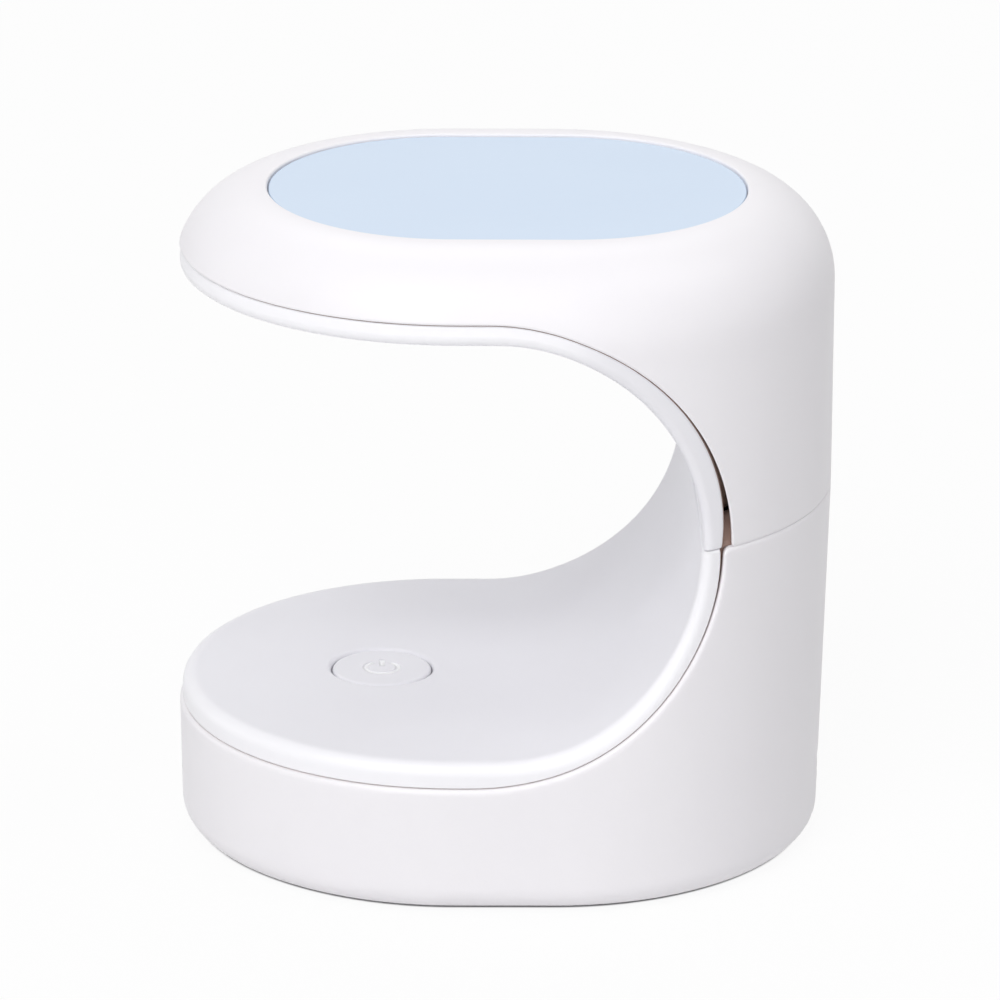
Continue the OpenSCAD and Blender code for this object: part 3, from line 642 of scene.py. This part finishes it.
# -------- the two liners
def liner_lines(wall, strip, hole, far):
    """Lines across half of a liner, from its hole and middle to its outline.

    far are the distances of the rows that follow the outline.
    """
    rho = wall.rho(strip.height)
    arc = rho * math.pi / 2

    def outline(s):
        x, z = strip.at(s)
        return s, half_width(x, wall.rho(abs(z - SEAM_Z)))

    pairs = []
    for f in spread(0, 1, LINER_COLUMNS):
        d = f * (arc + SPINE + MEET)
        if d < arc:
            edge = (-SPINE - rho * math.cos(d / rho), rho * math.sin(d / rho))
        else:
            edge = outline(d - arc - SPINE)
        pairs.append((hole(f), edge))
    start = hole(1)[0]
    for f in spread(0, 1, COLUMN_COLUMNS)[1:]:
        pairs.append(((start + (strip.end - start) * f, 0.0), outline(MEET + (strip.end - MEET) * f)))
    lines = []
    for (s0, y0), (s1, y1) in pairs:
        row = []
        for share in shares(math.hypot(s1 - s0, y1 - y0), [0], LINER_ROWS, far):
            x, z = strip.at(s0 + (s1 - s0) * share)
            row.append((x, y0 + (y1 - y0) * share, z))
        lines.append(row)
    return lines


def behind(wall, strip, outer):
    """Rule for the hidden side of a liner."""
    stretch = (outer.end - outer.cx) / (strip.end - outer.cx)

    def rule(x, y, z):
        s = strip.run_at(x, z)
        x_out, z_out = outer.at(s if s <= outer.cx else outer.cx + (s - outer.cx) * stretch)
        r, r_out = wall.rho(abs(z - SEAM_Z)), wall.rho(abs(z_out - SEAM_Z))
        if x < -SPINE:
            k = r_out / r
            return -SPINE + (x + SPINE) * k, y * k, z_out
        return x_out, y * half_width(x_out, r_out) / half_width(x, r), z_out
    return rule


def round_hole(x, r):
    """Half outline of a round hole, by the share of it that has been gone round."""
    return lambda f: (x - r * math.cos(math.pi * f), r * math.sin(math.pi * f) if f < 1 else 0.0)


def narrow_hole(bm, x, half, radii):
    """Draws the edge of a round or oblong hole in, ring by ring."""
    edges = [e for e in bm.edges if e.is_boundary and all(
        math.hypot(max(0.0, abs(v.co.x - x) - half), v.co.y) < radii[0] + 0.1 for v in e.verts)]
    for r0, r1 in zip(radii, radii[1:]):
        edges, ends = carried_on(bm, edges)
        for v in ends:
            spine = x + min(half, max(-half, v.co.x - x))
            v.co.x = spine + (v.co.x - spine) * r1 / r0
            v.co.y *= r1 / r0


def oblong_hole(x, length, width):
    """Half outline of an oblong hole, by the share of it that has been gone round."""
    half, r = (length - width) / 2, width / 2
    arc = math.pi * r / 2

    def at(f):
        d = f * (2 * arc + 2 * half)
        if d < arc:
            return x - half - r * math.cos(d / r), r * math.sin(d / r)
        if d < arc + 2 * half:
            return x - half + d - arc, r
        a = (d - arc - 2 * half) / r
        return x + half + r * math.sin(a), r * math.cos(a) if f < 1 else 0.0
    return at


def lower_liner():
    r = CAP_R + CAP_GAP
    bm = grid_mesh(liner_lines(LOWER_INSET, LOW_STRIP, round_hole(BUTTON_X, r + 1.6), [0, 2.6, 3.4]))
    mirrored(bm)
    narrow_hole(bm, BUTTON_X, 0, [r + 1.6, r + 0.9, r])
    thicken(bm, behind(LOWER_INSET, LOW_STRIP, LOW_EDGE))
    add_tube(bm, BUTTON_X, 0, *COLLAR)
    for side in (-1, 1):
        add_tube(bm, PAD_SCREW_X, side * PAD_SCREW_Y, *PAD_POST)
    return bm


def lower_liner_radius(p, e):
    if math.hypot(p.x - BUTTON_X, p.y) < CAP_R + 2.1:
        return BUTTON_HOLE_ROUND if p.z > PAD_Z - 2 * LEVEL else 0.0
    if math.hypot(p.x - PAD_SCREW_X, abs(p.y) - PAD_SCREW_Y) < 3:
        return 0.0
    if SEAM_Z - p.z < 2 * LEVEL:
        return SEAM_ROUND
    front = p.z > PAD_Z - LEVEL if p.x < LOW_STRIP.cx else in_front(LOW_STRIP, p)
    share = min(1.0, (SEAM_Z - p.z) / LOW_STRIP.height)
    return LOW_RIM_ROUND + LOW_RIM_MORE * share * math.sqrt(1 - share * share) if front else LOW_BACK_ROUND


def in_front(strip, p):
    """Whether a point lies on the finger side of a liner."""
    x, z = strip.at(strip.run_at(p.x, p.z))
    return math.hypot(x - p.x, z - p.z) < 0.15


def upper_liner():
    hole = oblong_hole(LAMP_X, WINDOW_L + 2.4, WINDOW_W + 2.4)
    bm = grid_mesh(liner_lines(UPPER_INSET, UP_STRIP, hole, [0, 2.0, 2.7]))
    mirrored(bm)
    r = WINDOW_W / 2
    narrow_hole(bm, LAMP_X, (WINDOW_L - WINDOW_W) / 2, [r + 1.2, r + 0.6, r])
    thicken(bm, behind(UPPER_INSET, UP_STRIP, UP_EDGE))
    for side in (-1, 1):
        add_lip(bm, UPPER, CUT_UP, side, *UP_RIB)
    return bm


def upper_liner_radius(p, e):
    if p.z - SEAM_Z < 2 * LEVEL:
        return SEAM_ROUND
    if math.hypot(max(0.0, abs(p.x - LAMP_X) - (WINDOW_L - WINDOW_W) / 2), p.y) < WINDOW_W / 2 + 2 * LEVEL:
        return WINDOW_ROUND if p.z < HEAD_Z + 2 * LEVEL else 0.0
    if all(f.material_index == 1 for f in e.link_faces):
        return 0.0
    front = p.z < HEAD_Z + LEVEL if p.x < UP_STRIP.cx else in_front(UP_STRIP, p)
    return UP_RIM_ROUND if front else UP_BACK_ROUND


# -------- the panel, the button and the socket
def top_panel():
    bm = bmesh.new()
    made = bmesh.ops.create_circle(bm, cap_ends=True, segments=160, radius=PANEL_W / 2)
    half = (PANEL_L - PANEL_W) / 2
    for v in made["verts"]:
        v.co.x += PANEL_X + (half if v.co.x > 0 else -half)
        v.co.z = PANEL_Z
    top = bmesh.ops.extrude_face_region(bm, geom=bm.faces[:], use_keep_orig=True)
    bmesh.ops.translate(bm, verts=made_verts(top), vec=(0, 0, PANEL_T))
    return bm


def panel_radius(p, e):
    return PANEL_ROUND


def button_cap():
    """Cap with a skirt and a flange; its top is sunk in the shape of a power mark."""
    bm = bmesh.new()
    top = Matrix.Translation((BUTTON_X, 0, CAP_Z))
    made = bmesh.ops.create_circle(bm, segments=96, radius=CAP_R, matrix=top)
    rim = linked_edges(made["verts"])
    # the mark: an arc that is open at the back, and a bar in its opening
    line = [bm.verts.new((BUTTON_X + r * math.sin(MARK_OPENING), r * math.cos(MARK_OPENING), CAP_Z))
            for r in (MARK_R - MARK_W / 2, MARK_R + MARK_W / 2)]
    bmesh.ops.spin(bm, geom=[*line, bm.edges.new(line)], cent=(BUTTON_X, 0, CAP_Z), axis=(0, 0, -1),
                   angle=2 * math.pi - 2 * MARK_OPENING, steps=40, use_merge=False, use_duplicate=False)
    bar = bmesh.ops.create_grid(bm, x_segments=1, y_segments=4, size=0.5)
    for v in bar["verts"]:
        v.co = Vector((BUTTON_X + v.co.x * MARK_W, MARK_R * (5 / 6 + v.co.y), CAP_Z))
    mark = bm.faces[:]
    edges = [e for e in bm.edges if len(e.link_faces) == 1] + rim
    bmesh.ops.triangle_fill(bm, edges=edges, use_beauty=True, use_dissolve=False, normal=(0, 0, 1))
    sunk = bmesh.ops.extrude_face_region(bm, geom=mark)
    bmesh.ops.delete(bm, geom=[f for f in mark if f.is_valid], context="FACES")
    bmesh.ops.translate(bm, verts=made_verts(sunk), vec=(0, 0, -MARK_DEPTH))
    # the sunk mark takes the third finish, a painted highlight
    for f in sunk["geom"]:
        if isinstance(f, bmesh.types.BMFace):
            f.material_index = 2
    side = moved_on(bm, rim, (0, 0, CAP_FLANGE_Z - CAP_Z))
    ring, ends = carried_on(bm, side)
    for v in ends:
        d = v.co - Vector((BUTTON_X, 0, v.co.z))
        v.co += d * (CAP_FLANGE / d.length)
    bmesh.ops.contextual_create(bm, geom=moved_on(bm, ring, (0, 0, CAP_UNDER_Z - CAP_FLANGE_Z)))
    return bm


def button_radius(p, e):
    r = math.hypot(p.x - BUTTON_X, p.y)
    if p.z > CAP_Z - 0.01:
        return CAP_ROUND if r > 5 else MARK_ROUND
    return FLANGE_ROUND if p.z < CAP_Z - 1 and r > 5 else 0.0


def socket_mouth():
    """Rolled metal shell of the power socket, open at the mouth."""
    bm = bmesh.new()
    half = (SOCKET_W - SOCKET_T) / 2
    made = bmesh.ops.create_circle(bm, cap_ends=True, segments=SOCKET_SEGMENTS, radius=SOCKET_T / 2)
    for v in made["verts"]:
        v.co = Vector((SOCKET_BACK, v.co.x + (half if v.co.x > 0 else -half), SOCKET_Z + v.co.y))
    body = bmesh.ops.extrude_face_region(bm, geom=bm.faces[:], use_keep_orig=True)
    bmesh.ops.translate(bm, verts=made_verts(body), vec=(SOCKET_MOUTH - SOCKET_BACK, 0, 0))
    front = [g for g in body["geom"] if isinstance(g, bmesh.types.BMFace)]
    bmesh.ops.inset_region(bm, faces=front, thickness=SOCKET_WALL)
    well = bmesh.ops.extrude_face_region(bm, geom=front)
    bmesh.ops.delete(bm, geom=[f for f in front if f.is_valid], context="FACES")
    bmesh.ops.translate(bm, verts=made_verts(well), vec=(SOCKET_BACK - SOCKET_MOUTH + 2 * SOCKET_WALL, 0, 0))
    return bm


def socket_radius(p, e):
    return MOUTH_ROUND if p.x > SOCKET_MOUTH - 1 else SOCKET_BACK_ROUND


# -------- finishes
def operator(operation, flip=False):
    """Method that places a maths node, with its two values the other way round if flip is set."""
    return lambda self, other: self.reckoned(operation, other, flip)


class Value:
    """A socket of a material that can be reckoned with."""

    def __init__(self, finish, socket):
        self.finish, self.socket = finish, socket

    def reckoned(self, operation, other=None, flip=False):
        pair = [self] if other is None else ([other, self] if flip else [self, other])
        return self.finish.node("ShaderNodeMath", {"operation": operation}, *pair)

    __add__, __radd__ = operator("ADD"), operator("ADD", True)
    __sub__, __rsub__ = operator("SUBTRACT"), operator("SUBTRACT", True)
    __mul__, __rmul__ = operator("MULTIPLY"), operator("MULTIPLY", True)
    __truediv__ = operator("DIVIDE")
    __gt__, __lt__ = operator("GREATER_THAN"), operator("LESS_THAN")


class Finish:
    """A material with its main shader, in which nodes are placed and joined."""

    def __init__(self, name, colour, rough, **constants):
        self.material = bpy.data.materials.new(name)
        self.material.use_nodes = True
        self.tree = self.material.node_tree
        self.shader = self.tree.nodes["Principled BSDF"]
        self.set("Base Color", (*colour, 1))
        self.set("Roughness", rough)
        for key, value in constants.items():
            self.set(key.replace("_", " "), value)
        self.place = self.node("ShaderNodeTexCoord", {}, output="Object")

    def feed(self, socket, value):
        if isinstance(value, Value):
            self.tree.links.new(value.socket, socket)
        else:
            socket.default_value = value

    def set(self, key, value):
        self.feed(self.shader.inputs[key], value)
        return self

    def node(self, kind, settings, *values, output=0, **named):
        n = self.tree.nodes.new(kind)
        for key, value in settings.items():
            setattr(n, key, value)
        for key, value in [*enumerate(values), *((k.replace("_", " "), v) for k, v in named.items())]:
            self.feed(n.inputs[key], value)
        return Value(self, n.outputs[output])

    def noise(self, scale, detail=2.0, rough=0.5, place=None):
        return self.node("ShaderNodeTexNoise", {}, Vector=place or self.place, Scale=scale, Detail=detail,
                         Roughness=rough)

    def stretched(self, x, y, z):
        return self.node("ShaderNodeMapping", {}, Vector=self.place, Scale=(x, y, z))

    def split(self):
        n = self.tree.nodes.new("ShaderNodeSeparateXYZ")
        self.feed(n.inputs[0], self.place)
        return [Value(self, o) for o in n.outputs]

    def away(self):
        """Distance from the middle line of the body, seen from above, and the part of it along the body."""
        x, y, z = self.split()
        beyond = (x.reckoned("ABSOLUTE") - SPINE * MM).reckoned("MAXIMUM", 0.0)
        return (beyond * beyond + y * y).reckoned("SQRT"), beyond

    def band(self, value, low, high, out_low, out_high):
        return self.node("ShaderNodeMapRange", {"interpolation_type": "SMOOTHSTEP"}, value, low, high,
                         out_low, out_high)

    def mix(self, share, first, second):
        n = self.tree.nodes.new("ShaderNodeMix")
        n.data_type = "RGBA"
        self.feed(n.inputs[0], share)
        for i, colour in ((6, first), (7, second)):
            self.feed(n.inputs[i], colour if isinstance(colour, Value) else (*colour, 1))
        return Value(self, n.outputs[2])

    def relief(self, height, depth):
        """Bump whose height of 1 stands for a depth in metres."""
        bump = self.node("ShaderNodeBump", {}, Strength=1.0, Distance=depth, Height=height)
        return self.set("Normal", bump)


def moulded(name, colour, shade, rough, grain=2600, depth=0.000012, **constants):
    """Injection-moulded plastic: faint flow in its colour and gloss, and a fine spark-eroded grain."""
    f = Finish(name, colour, rough, **constants)
    flow = f.noise(45, 3.0, 0.55, f.stretched(1, 1, 0.35))
    f.set("Base Color", f.mix(f.band(flow, 0.3, 0.7, 0, 1), colour, shade))
    fine = f.noise(grain, 3.0, 0.6)
    f.set("Roughness", rough - 0.035 + 0.07 * f.noise(160, 2.0) + 0.03 * fine)
    return f.relief(fine, depth)


def liner_with_painted_rim_light():
    """The liners' satin plastic, with painted light: a whiter band on the rounded rim for the light it
    catches, but not up in the column, which lies in shade.
    """
    f = moulded("liner_white_satin_painted_rim_light", LINER_WHITE, LINER_SHADE, 0.4, Specular_IOR_Level=0.45)
    x, y, z = f.split()
    # painted light: the band near the outline is mixed towards a paler white, except in the upper column's
    # shade
    rim = f.band(f.away()[0], *PAINTED_LIGHT_BAND, 0, 1)
    column = (z > SEAM_Z * MM) * f.band(x, *PAINTED_LIGHT_COLUMN_FADE, 0, 1)
    plain = Value(f, f.shader.inputs["Base Color"].links[0].from_socket)
    return f.set("Base Color", f.mix(rim * (1 - column), plain, RIM_PAINTED_LIGHT))


def blue_panel():
    """Satin film-faced plastic with a faint rolled grain along the body."""
    f = Finish("panel_pale_blue", PANEL_BLUE, 0.36, Specular_IOR_Level=0.4)
    roll = f.noise(700, 3.0, 0.6, f.stretched(0.25, 1, 1))
    cloud = f.noise(30, 2.0)
    f.set("Base Color", f.mix(f.band(cloud, 0.3, 0.7, 0, 1), PANEL_BLUE, PANEL_SHADE))
    f.set("Roughness", 0.33 + 0.06 * roll)
    return f.relief(roll, 0.000006)


def grained(name, colour, rough, grain, depth, tones=None, gloss=None, run=None, **constants):
    """Finish with one grain, which its relief follows, and where given its colour and its roughness.

    grain is its scale, detail and roughness and run what it is stretched by; tones are the two colours
    and gloss the roughness without the grain and how much the grain adds to it.
    """
    f = Finish(name, colour, rough, **constants)
    noise = f.noise(*grain, f.stretched(*run) if run else None)
    if gloss:
        f.set("Roughness", gloss[0] + gloss[1] * noise)
    if tones:
        f.set("Base Color", f.mix(noise, *tones))
    return f.relief(noise, depth)


def clear_window():
    f = Finish("lamp_window_clear", (0.93, 0.95, 0.98), 0.06, Transmission_Weight=1.0, IOR=1.49)
    ripple = f.noise(220, 2.0)
    f.set("Roughness", 0.04 + 0.05 * f.noise(900, 2.0))
    return f.relief(ripple, 0.00001)


def clear_dome():
    f = Finish("bead_dome_silicone", (0.9, 0.87, 0.97), 0.12, Transmission_Weight=0.9, IOR=1.41)
    f.set("Roughness", 0.08 + 0.08 * f.noise(1500, 2.0))
    return f


def board(name, mask, copper, pad):
    """Circuit board: solder mask over narrow tracks, which show through it as a slightly paler relief."""
    f = Finish(name, mask, 0.32, Coat_Weight=0.35, Coat_Roughness=0.2)
    x, y, z = f.split()
    bend = f.noise(260, 0.0)
    row = (y * TRACK_PITCH + 1.2 * (f.noise(90, 0.0) > 0.52)).reckoned("FRACT")
    run = f.noise(180, 1.0, 0.5, f.stretched(0.35, 1.3, 1)) > 0.5
    track = (row < 0.42) * run
    via = f.node("ShaderNodeTexVoronoi", {}, Vector=f.place, Scale=330.0) < 0.16
    f.set("Base Color", f.mix(via, f.mix(track, mask, copper), pad))
    f.set("Roughness", 0.26 + 0.1 * bend)
    return f.relief(track * 0.6 + via, 0.00003)


def steel(name="screw_steel_bright", colour=(0.62, 0.63, 0.65)):
    f = Finish(name, colour, 0.3, Metallic=1.0)
    turned = f.noise(1800, 3.0, 0.6, f.stretched(1, 1, 6))
    f.set("Roughness", 0.22 + 0.2 * turned)
    f.set("Base Color", f.mix(f.noise(240, 2.0), colour, tuple(c * 0.82 for c in colour)))
    return f.relief(turned, 0.000008)


def black_plastic(name, colour, rough, scale):
    tones = colour, tuple(c * 1.9 + 0.01 for c in colour)
    return grained(name, colour, rough, (scale, 3.0, 0.7), 0.00002, tones, (rough - 0.08, 0.16))


def wire_skin(name, colour):
    tones = colour, tuple(c * 0.75 for c in colour)
    return grained(name, colour, 0.42, (1300, 2.0, 0.5), 0.00002, tones, (0.36, 0.12))


SHELL_WHITE, SHELL_SHADE = (0.874, 0.857, 0.886), (0.862, 0.844, 0.876)
LINER_WHITE, LINER_SHADE = (0.842, 0.836, 0.874), (0.83, 0.822, 0.862)
# painted light: the paler white of the liners' lit rim
RIM_PAINTED_LIGHT = (0.912, 0.906, 0.938)
# in metres: where the painted light on the liners' rim begins, and along the body where it stops on the
# upper one
PAINTED_LIGHT_BAND = (0.0308, 0.0322)
PAINTED_LIGHT_COLUMN_FADE = (0.004, 0.014)
PANEL_BLUE, PANEL_SHADE = (0.606, 0.718, 0.866), (0.596, 0.708, 0.858)
# painted shade: the dark reddish brown of the shells' and liners' unseen sides, seen deep in the gaps
INSIDE_PAINTED_SHADE = (0.36, 0.24, 0.2)
# painted highlight: the paler white of the power mark's strokes stands for the light they catch
MARK_PAINTED_HIGHLIGHT = (0.97, 0.97, 0.98)
BOARD_WHITE = ((0.8, 0.8, 0.79), (0.7, 0.7, 0.68), (0.75, 0.74, 0.7))
BOARD_GREEN = ((0.02, 0.16, 0.07), (0.04, 0.26, 0.11), (0.72, 0.66, 0.45))
NYLON = ((0.8, 0.78, 0.7), (0.76, 0.74, 0.66))
TRACK_PITCH = 520

shell = moulded("shell_white_satin", SHELL_WHITE, SHELL_SHADE, 0.42, Specular_IOR_Level=0.45)
liner = liner_with_painted_rim_light()
# the unseen side of the shells and liners: duller, with the broad marks of the tool's cutter, and a dark
# reddish brown that is painted shade for the deep gaps between parts
core_painted_shade = grained("mould_core_side_painted_shade", INSIDE_PAINTED_SHADE, 0.62, (900, 2.0, 0.6), 0.00003,
               (INSIDE_PAINTED_SHADE, tuple(c * 0.8 for c in INSIDE_PAINTED_SHADE)), run=(1, 1, 0.15))
# the power mark's finish is a painted highlight, paler than the cap
mark = moulded("mark_painted_highlight", MARK_PAINTED_HIGHLIGHT, MARK_PAINTED_HIGHLIGHT, 0.45)
screw_steel, sheet_steel = steel(), steel("shield_steel", (0.66, 0.66, 0.66))
film = grained("adhesive_film", (0.78, 0.79, 0.78), 0.55, (1500, 4.0, 0.7), 0.00002,
               ((0.72, 0.73, 0.71), (0.84, 0.85, 0.84)), run=(1, 0.2, 1))
ceramic = grained("bead_ceramic", (0.83, 0.8, 0.68), 0.5, (2600, 2.0, 0.5), 0.00002,
                  ((0.86, 0.83, 0.72), (0.76, 0.72, 0.58)))
gold = grained("contact_gold_flash", (0.86, 0.62, 0.27), 0.25, (2200, 3.0, 0.6), 0.000004,
               ((0.9, 0.67, 0.31), (0.74, 0.52, 0.22)), (0.2, 0.15), (0.2, 1, 1), Metallic=1.0)
aluminium = grained("can_drawn_aluminium", (0.78, 0.79, 0.8), 0.3, (2500, 3.0, 0.6), 0.00001,
                    ((0.82, 0.83, 0.84), (0.68, 0.69, 0.7)), (0.22, 0.18), (1, 1, 0.08), Metallic=1.0)
solder = grained("solder_tin", (0.72, 0.73, 0.74), 0.22, (3000, 3.0, 0.7), 0.00002, None, (0.15, 0.25),
                 Metallic=1.0)
rubber = grained("foot_rubber_grey", (0.16, 0.16, 0.165), 0.78, (2400, 4.0, 0.75), 0.00006,
                 ((0.12, 0.12, 0.125), (0.22, 0.22, 0.225)), (0.7, 0.2))

# mesh: how it is made and rounded, the node, body and slot that it stands for, and its finishes
SKINS = {
    "upper_shell_moulding": (upper_shell, upper_shell_radius, "upper_shell", "lamp_body", "shell_plastic",
                             shell, core_painted_shade),
    "lower_shell_moulding": (lower_shell, lower_shell_radius, "lower_shell", "lamp_body", "shell_plastic",
                             shell, core_painted_shade),
    "upper_liner_moulding": (upper_liner, upper_liner_radius, "upper_liner", "lamp_body", "liner_plastic",
                             liner, core_painted_shade),
    "lower_liner_moulding": (lower_liner, lower_liner_radius, "lower_liner", "lamp_body", "liner_plastic",
                             liner, core_painted_shade),
    "top_panel_plate": (top_panel, panel_radius, "top_panel", "lamp_body", "panel_plastic", blue_panel()),
    "socket_shell_rolled": (socket_mouth, socket_radius, "socket_shell", "lamp_body", "screw_steel",
                            sheet_steel),
    "button_cap_moulding": (button_cap, button_radius, "button_cap", "button", "liner_plastic",
                            liner, core_painted_shade, mark),
}
# pieces that keep the shape they were built with
FINISHES = {
    "panel_film": film,
    "lamp_window": clear_window(),
    "lamp_domes": clear_dome(),
    "lamp_beads": ceramic,
    "lamp_board": board("lamp_board_white_mask", *BOARD_WHITE),
    "control_board": board("control_board_green", *BOARD_GREEN),
    "lamp_board_screws head_screws column_screws pad_screws board_screws": screw_steel,
    "switch_cover switch_dome": sheet_steel,
    "switch_housing": black_plastic("switch_black_nylon", (0.025, 0.025, 0.027), 0.5, 1800),
    "switch_plunger": moulded("plunger_red_brown", (0.35, 0.09, 0.06), (0.3, 0.07, 0.05), 0.45),
    "socket_tongue": black_plastic("socket_tongue_black", (0.02, 0.02, 0.022), 0.4, 2200),
    "controller_chip power_transistor chip_resistors":
        black_plastic("chip_epoxy_black", (0.022, 0.022, 0.024), 0.55, 2600),
    "socket_contacts": gold,
    "power_inductor": black_plastic("ferrite_grey", (0.07, 0.07, 0.075), 0.7, 1500),
    "filter_capacitors": aluminium,
    "wire_header wire_plug": moulded("connector_nylon", *NYLON, 0.5),
    "red_wire": wire_skin("wire_red_skin", (0.55, 0.03, 0.025)),
    "black_wire": wire_skin("wire_black_skin", (0.02, 0.02, 0.02)),
    "wire_joints": solder,
    "rubber_feet": rubber,
}
for name, (make, radius_of, node, body, slot, *surfaces) in SKINS.items():
    ob = finish(make(), name, radius_of)
    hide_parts(node)
    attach(ob, body)
    for surface in surfaces:
        ob.data.materials.append(surface.material)
for names, surface in FINISHES.items():
    for name in names.split():
        for place in bpy.data.objects[name].material_slots:
            place.material = surface.material

# -------- camera, floor and light
CAM_AZ = math.radians(-1.221)
CAM_EL = math.radians(19.373)
CAM_ROLL = math.radians(0.547)
CAM_DISTANCE = 793.0
CAM_TARGET = Vector((-0.26, 0.0, 41.057))
IMAGE_PX = 1000.0
FOCAL_PX = 6500.0
SENSOR = 36.0


def direction(round_it, above):
    """Unit vector from the lamp, by the angle round it from the front and that above the floor."""
    level = math.cos(above)
    return Vector((math.sin(round_it) * level, -math.cos(round_it) * level, math.sin(above)))


def add_camera():
    away = direction(CAM_AZ, CAM_EL)
    place = (CAM_TARGET + CAM_DISTANCE * away) * MM
    right = (-away).cross(Vector((0, 0, 1))).normalized()
    up = right.cross(-away)
    right, up = (right * math.cos(CAM_ROLL) + up * math.sin(CAM_ROLL),
                 up * math.cos(CAM_ROLL) - right * math.sin(CAM_ROLL))
    camera = bpy.data.cameras.new("camera")
    camera.sensor_width = SENSOR
    camera.lens = FOCAL_PX * SENSOR / IMAGE_PX
    camera.clip_start = 0.01
    camera.clip_end = 100.0
    ob = bpy.data.objects.new("camera", camera)
    ob.matrix_world = Matrix(((right.x, up.x, away.x, place.x), (right.y, up.y, away.y, place.y),
                              (right.z, up.z, away.z, place.z), (0, 0, 0, 1)))
    bpy.context.scene.collection.objects.link(ob)
    bpy.context.scene.camera = ob


def soft_box(name, side, height, power):
    """Square studio light that faces the lamp, from two such angles in degrees."""
    light = bpy.data.lights.new(name, "AREA")
    light.shape = "SQUARE"
    light.size = LIGHT_SIZE
    light.energy = power
    ob = bpy.data.objects.new(name, light)
    away = direction(math.radians(side), math.radians(height))
    ob.location = LIGHT_CENTRE + LIGHT_AWAY * away
    ob.rotation_euler = away.to_track_quat("Z", "Y").to_euler()
    bpy.context.scene.collection.objects.link(ob)


def seen_directly(tree):
    """1 for rays from the camera and for those seen in metal or through glass."""
    path = tree.nodes.new("ShaderNodeLightPath")
    total = path.outputs["Is Camera Ray"]
    for name in ("Is Glossy Ray", "Is Transmission Ray"):
        add = tree.nodes.new("ShaderNodeMath")
        add.operation = "MAXIMUM"
        tree.links.new(total, add.inputs[0])
        tree.links.new(path.outputs[name], add.inputs[1])
        total = add.outputs[0]
    return total


def white_floor():
    mesh = bpy.data.meshes.new("floor")
    bm = bmesh.new()
    bmesh.ops.create_grid(bm, x_segments=1, y_segments=1, size=4)
    bm.to_mesh(mesh)
    bm.free()
    ob = bpy.data.objects.new("floor", mesh)
    f = Finish("floor_white", FLOOR_WHITE, 0.9, Specular_IOR_Level=0.0)
    away, beyond = f.away()
    end = beyond / away
    end = end * end
    direct = Value(f, seen_directly(f.tree))
    # away from the lamp the floor shows white; in the narrow gap below the base it keeps its full shade
    share = f.band(away - GAP_REACH * end * end, *GAP_SHADE, 0, FLOOR_GLOW) * direct
    share = share + f.band(away, *FAR_FLOOR, 0, 1 - FLOOR_GLOW) * direct
    # a camera below the floor looks through it
    below = f.node("ShaderNodeNewGeometry", {}, output="Backfacing") * direct
    surface = f.shader.outputs[0]
    for kind, part in (("ShaderNodeEmission", share), ("ShaderNodeBsdfTransparent", below)):
        mix = f.tree.nodes.new("ShaderNodeMixShader")
        f.tree.links.new(part.socket, mix.inputs[0])
        f.tree.links.new(surface, mix.inputs[1])
        f.tree.links.new(f.tree.nodes.new(kind).outputs[0], mix.inputs[2])
        surface = mix.outputs[0]
    f.tree.links.new(surface, f.tree.nodes["Material Output"].inputs["Surface"])
    mesh.materials.append(f.material)
    bpy.context.scene.collection.objects.link(ob)


def white_world():
    world = bpy.data.worlds.new("studio")
    world.use_nodes = True
    tree = world.node_tree
    soft = tree.nodes["Background"]
    soft.inputs["Color"].default_value = (1, 1, 1, 1)
    soft.inputs["Strength"].default_value = WORLD_LIGHT
    white = tree.nodes.new("ShaderNodeBackground")
    white.inputs["Color"].default_value = (1, 1, 1, 1)
    white.inputs["Strength"].default_value = 1.0
    mix = tree.nodes.new("ShaderNodeMixShader")
    tree.links.new(seen_directly(tree), mix.inputs[0])
    tree.links.new(soft.outputs[0], mix.inputs[1])
    tree.links.new(white.outputs[0], mix.inputs[2])
    tree.links.new(mix.outputs[0], tree.nodes["World Output"].inputs["Surface"])
    bpy.context.scene.world = world


# the floor's colour in the light, the share of white that it shows, and in metres: where its shade below
# the base ends, how much further out that is at the body's two ends, and where it turns wholly white
FLOOR_WHITE = (0.84, 0.84, 0.84)
FLOOR_GLOW = 0.93
GAP_SHADE = (0.0300, 0.0305)
GAP_REACH = 0.001
FAR_FLOOR = (0.5, 1.5)
WORLD_LIGHT = 0.2
LIGHT_SIZE = 1.0
LIGHT_AWAY = 1.7
LIGHT_CENTRE = Vector((0, 0, 0.04))
# name, angle round the lamp, angle above the floor and power
SOFT_BOXES = [
    ("main_light", -25, 38, 13.0),
    ("high_front_light", -25, 62, 5.7),
    ("low_front_light", 10, 12, 3.9),
    ("left_light", -110, 12, 3.3),
    ("right_light", 85, 62, 6.1),
    ("back_light", 180, 50, 5.7),
]

add_camera()
white_floor()
white_world()
for row in SOFT_BOXES:
    soft_box(*row)
bpy.context.scene.view_settings.view_transform = "Standard"
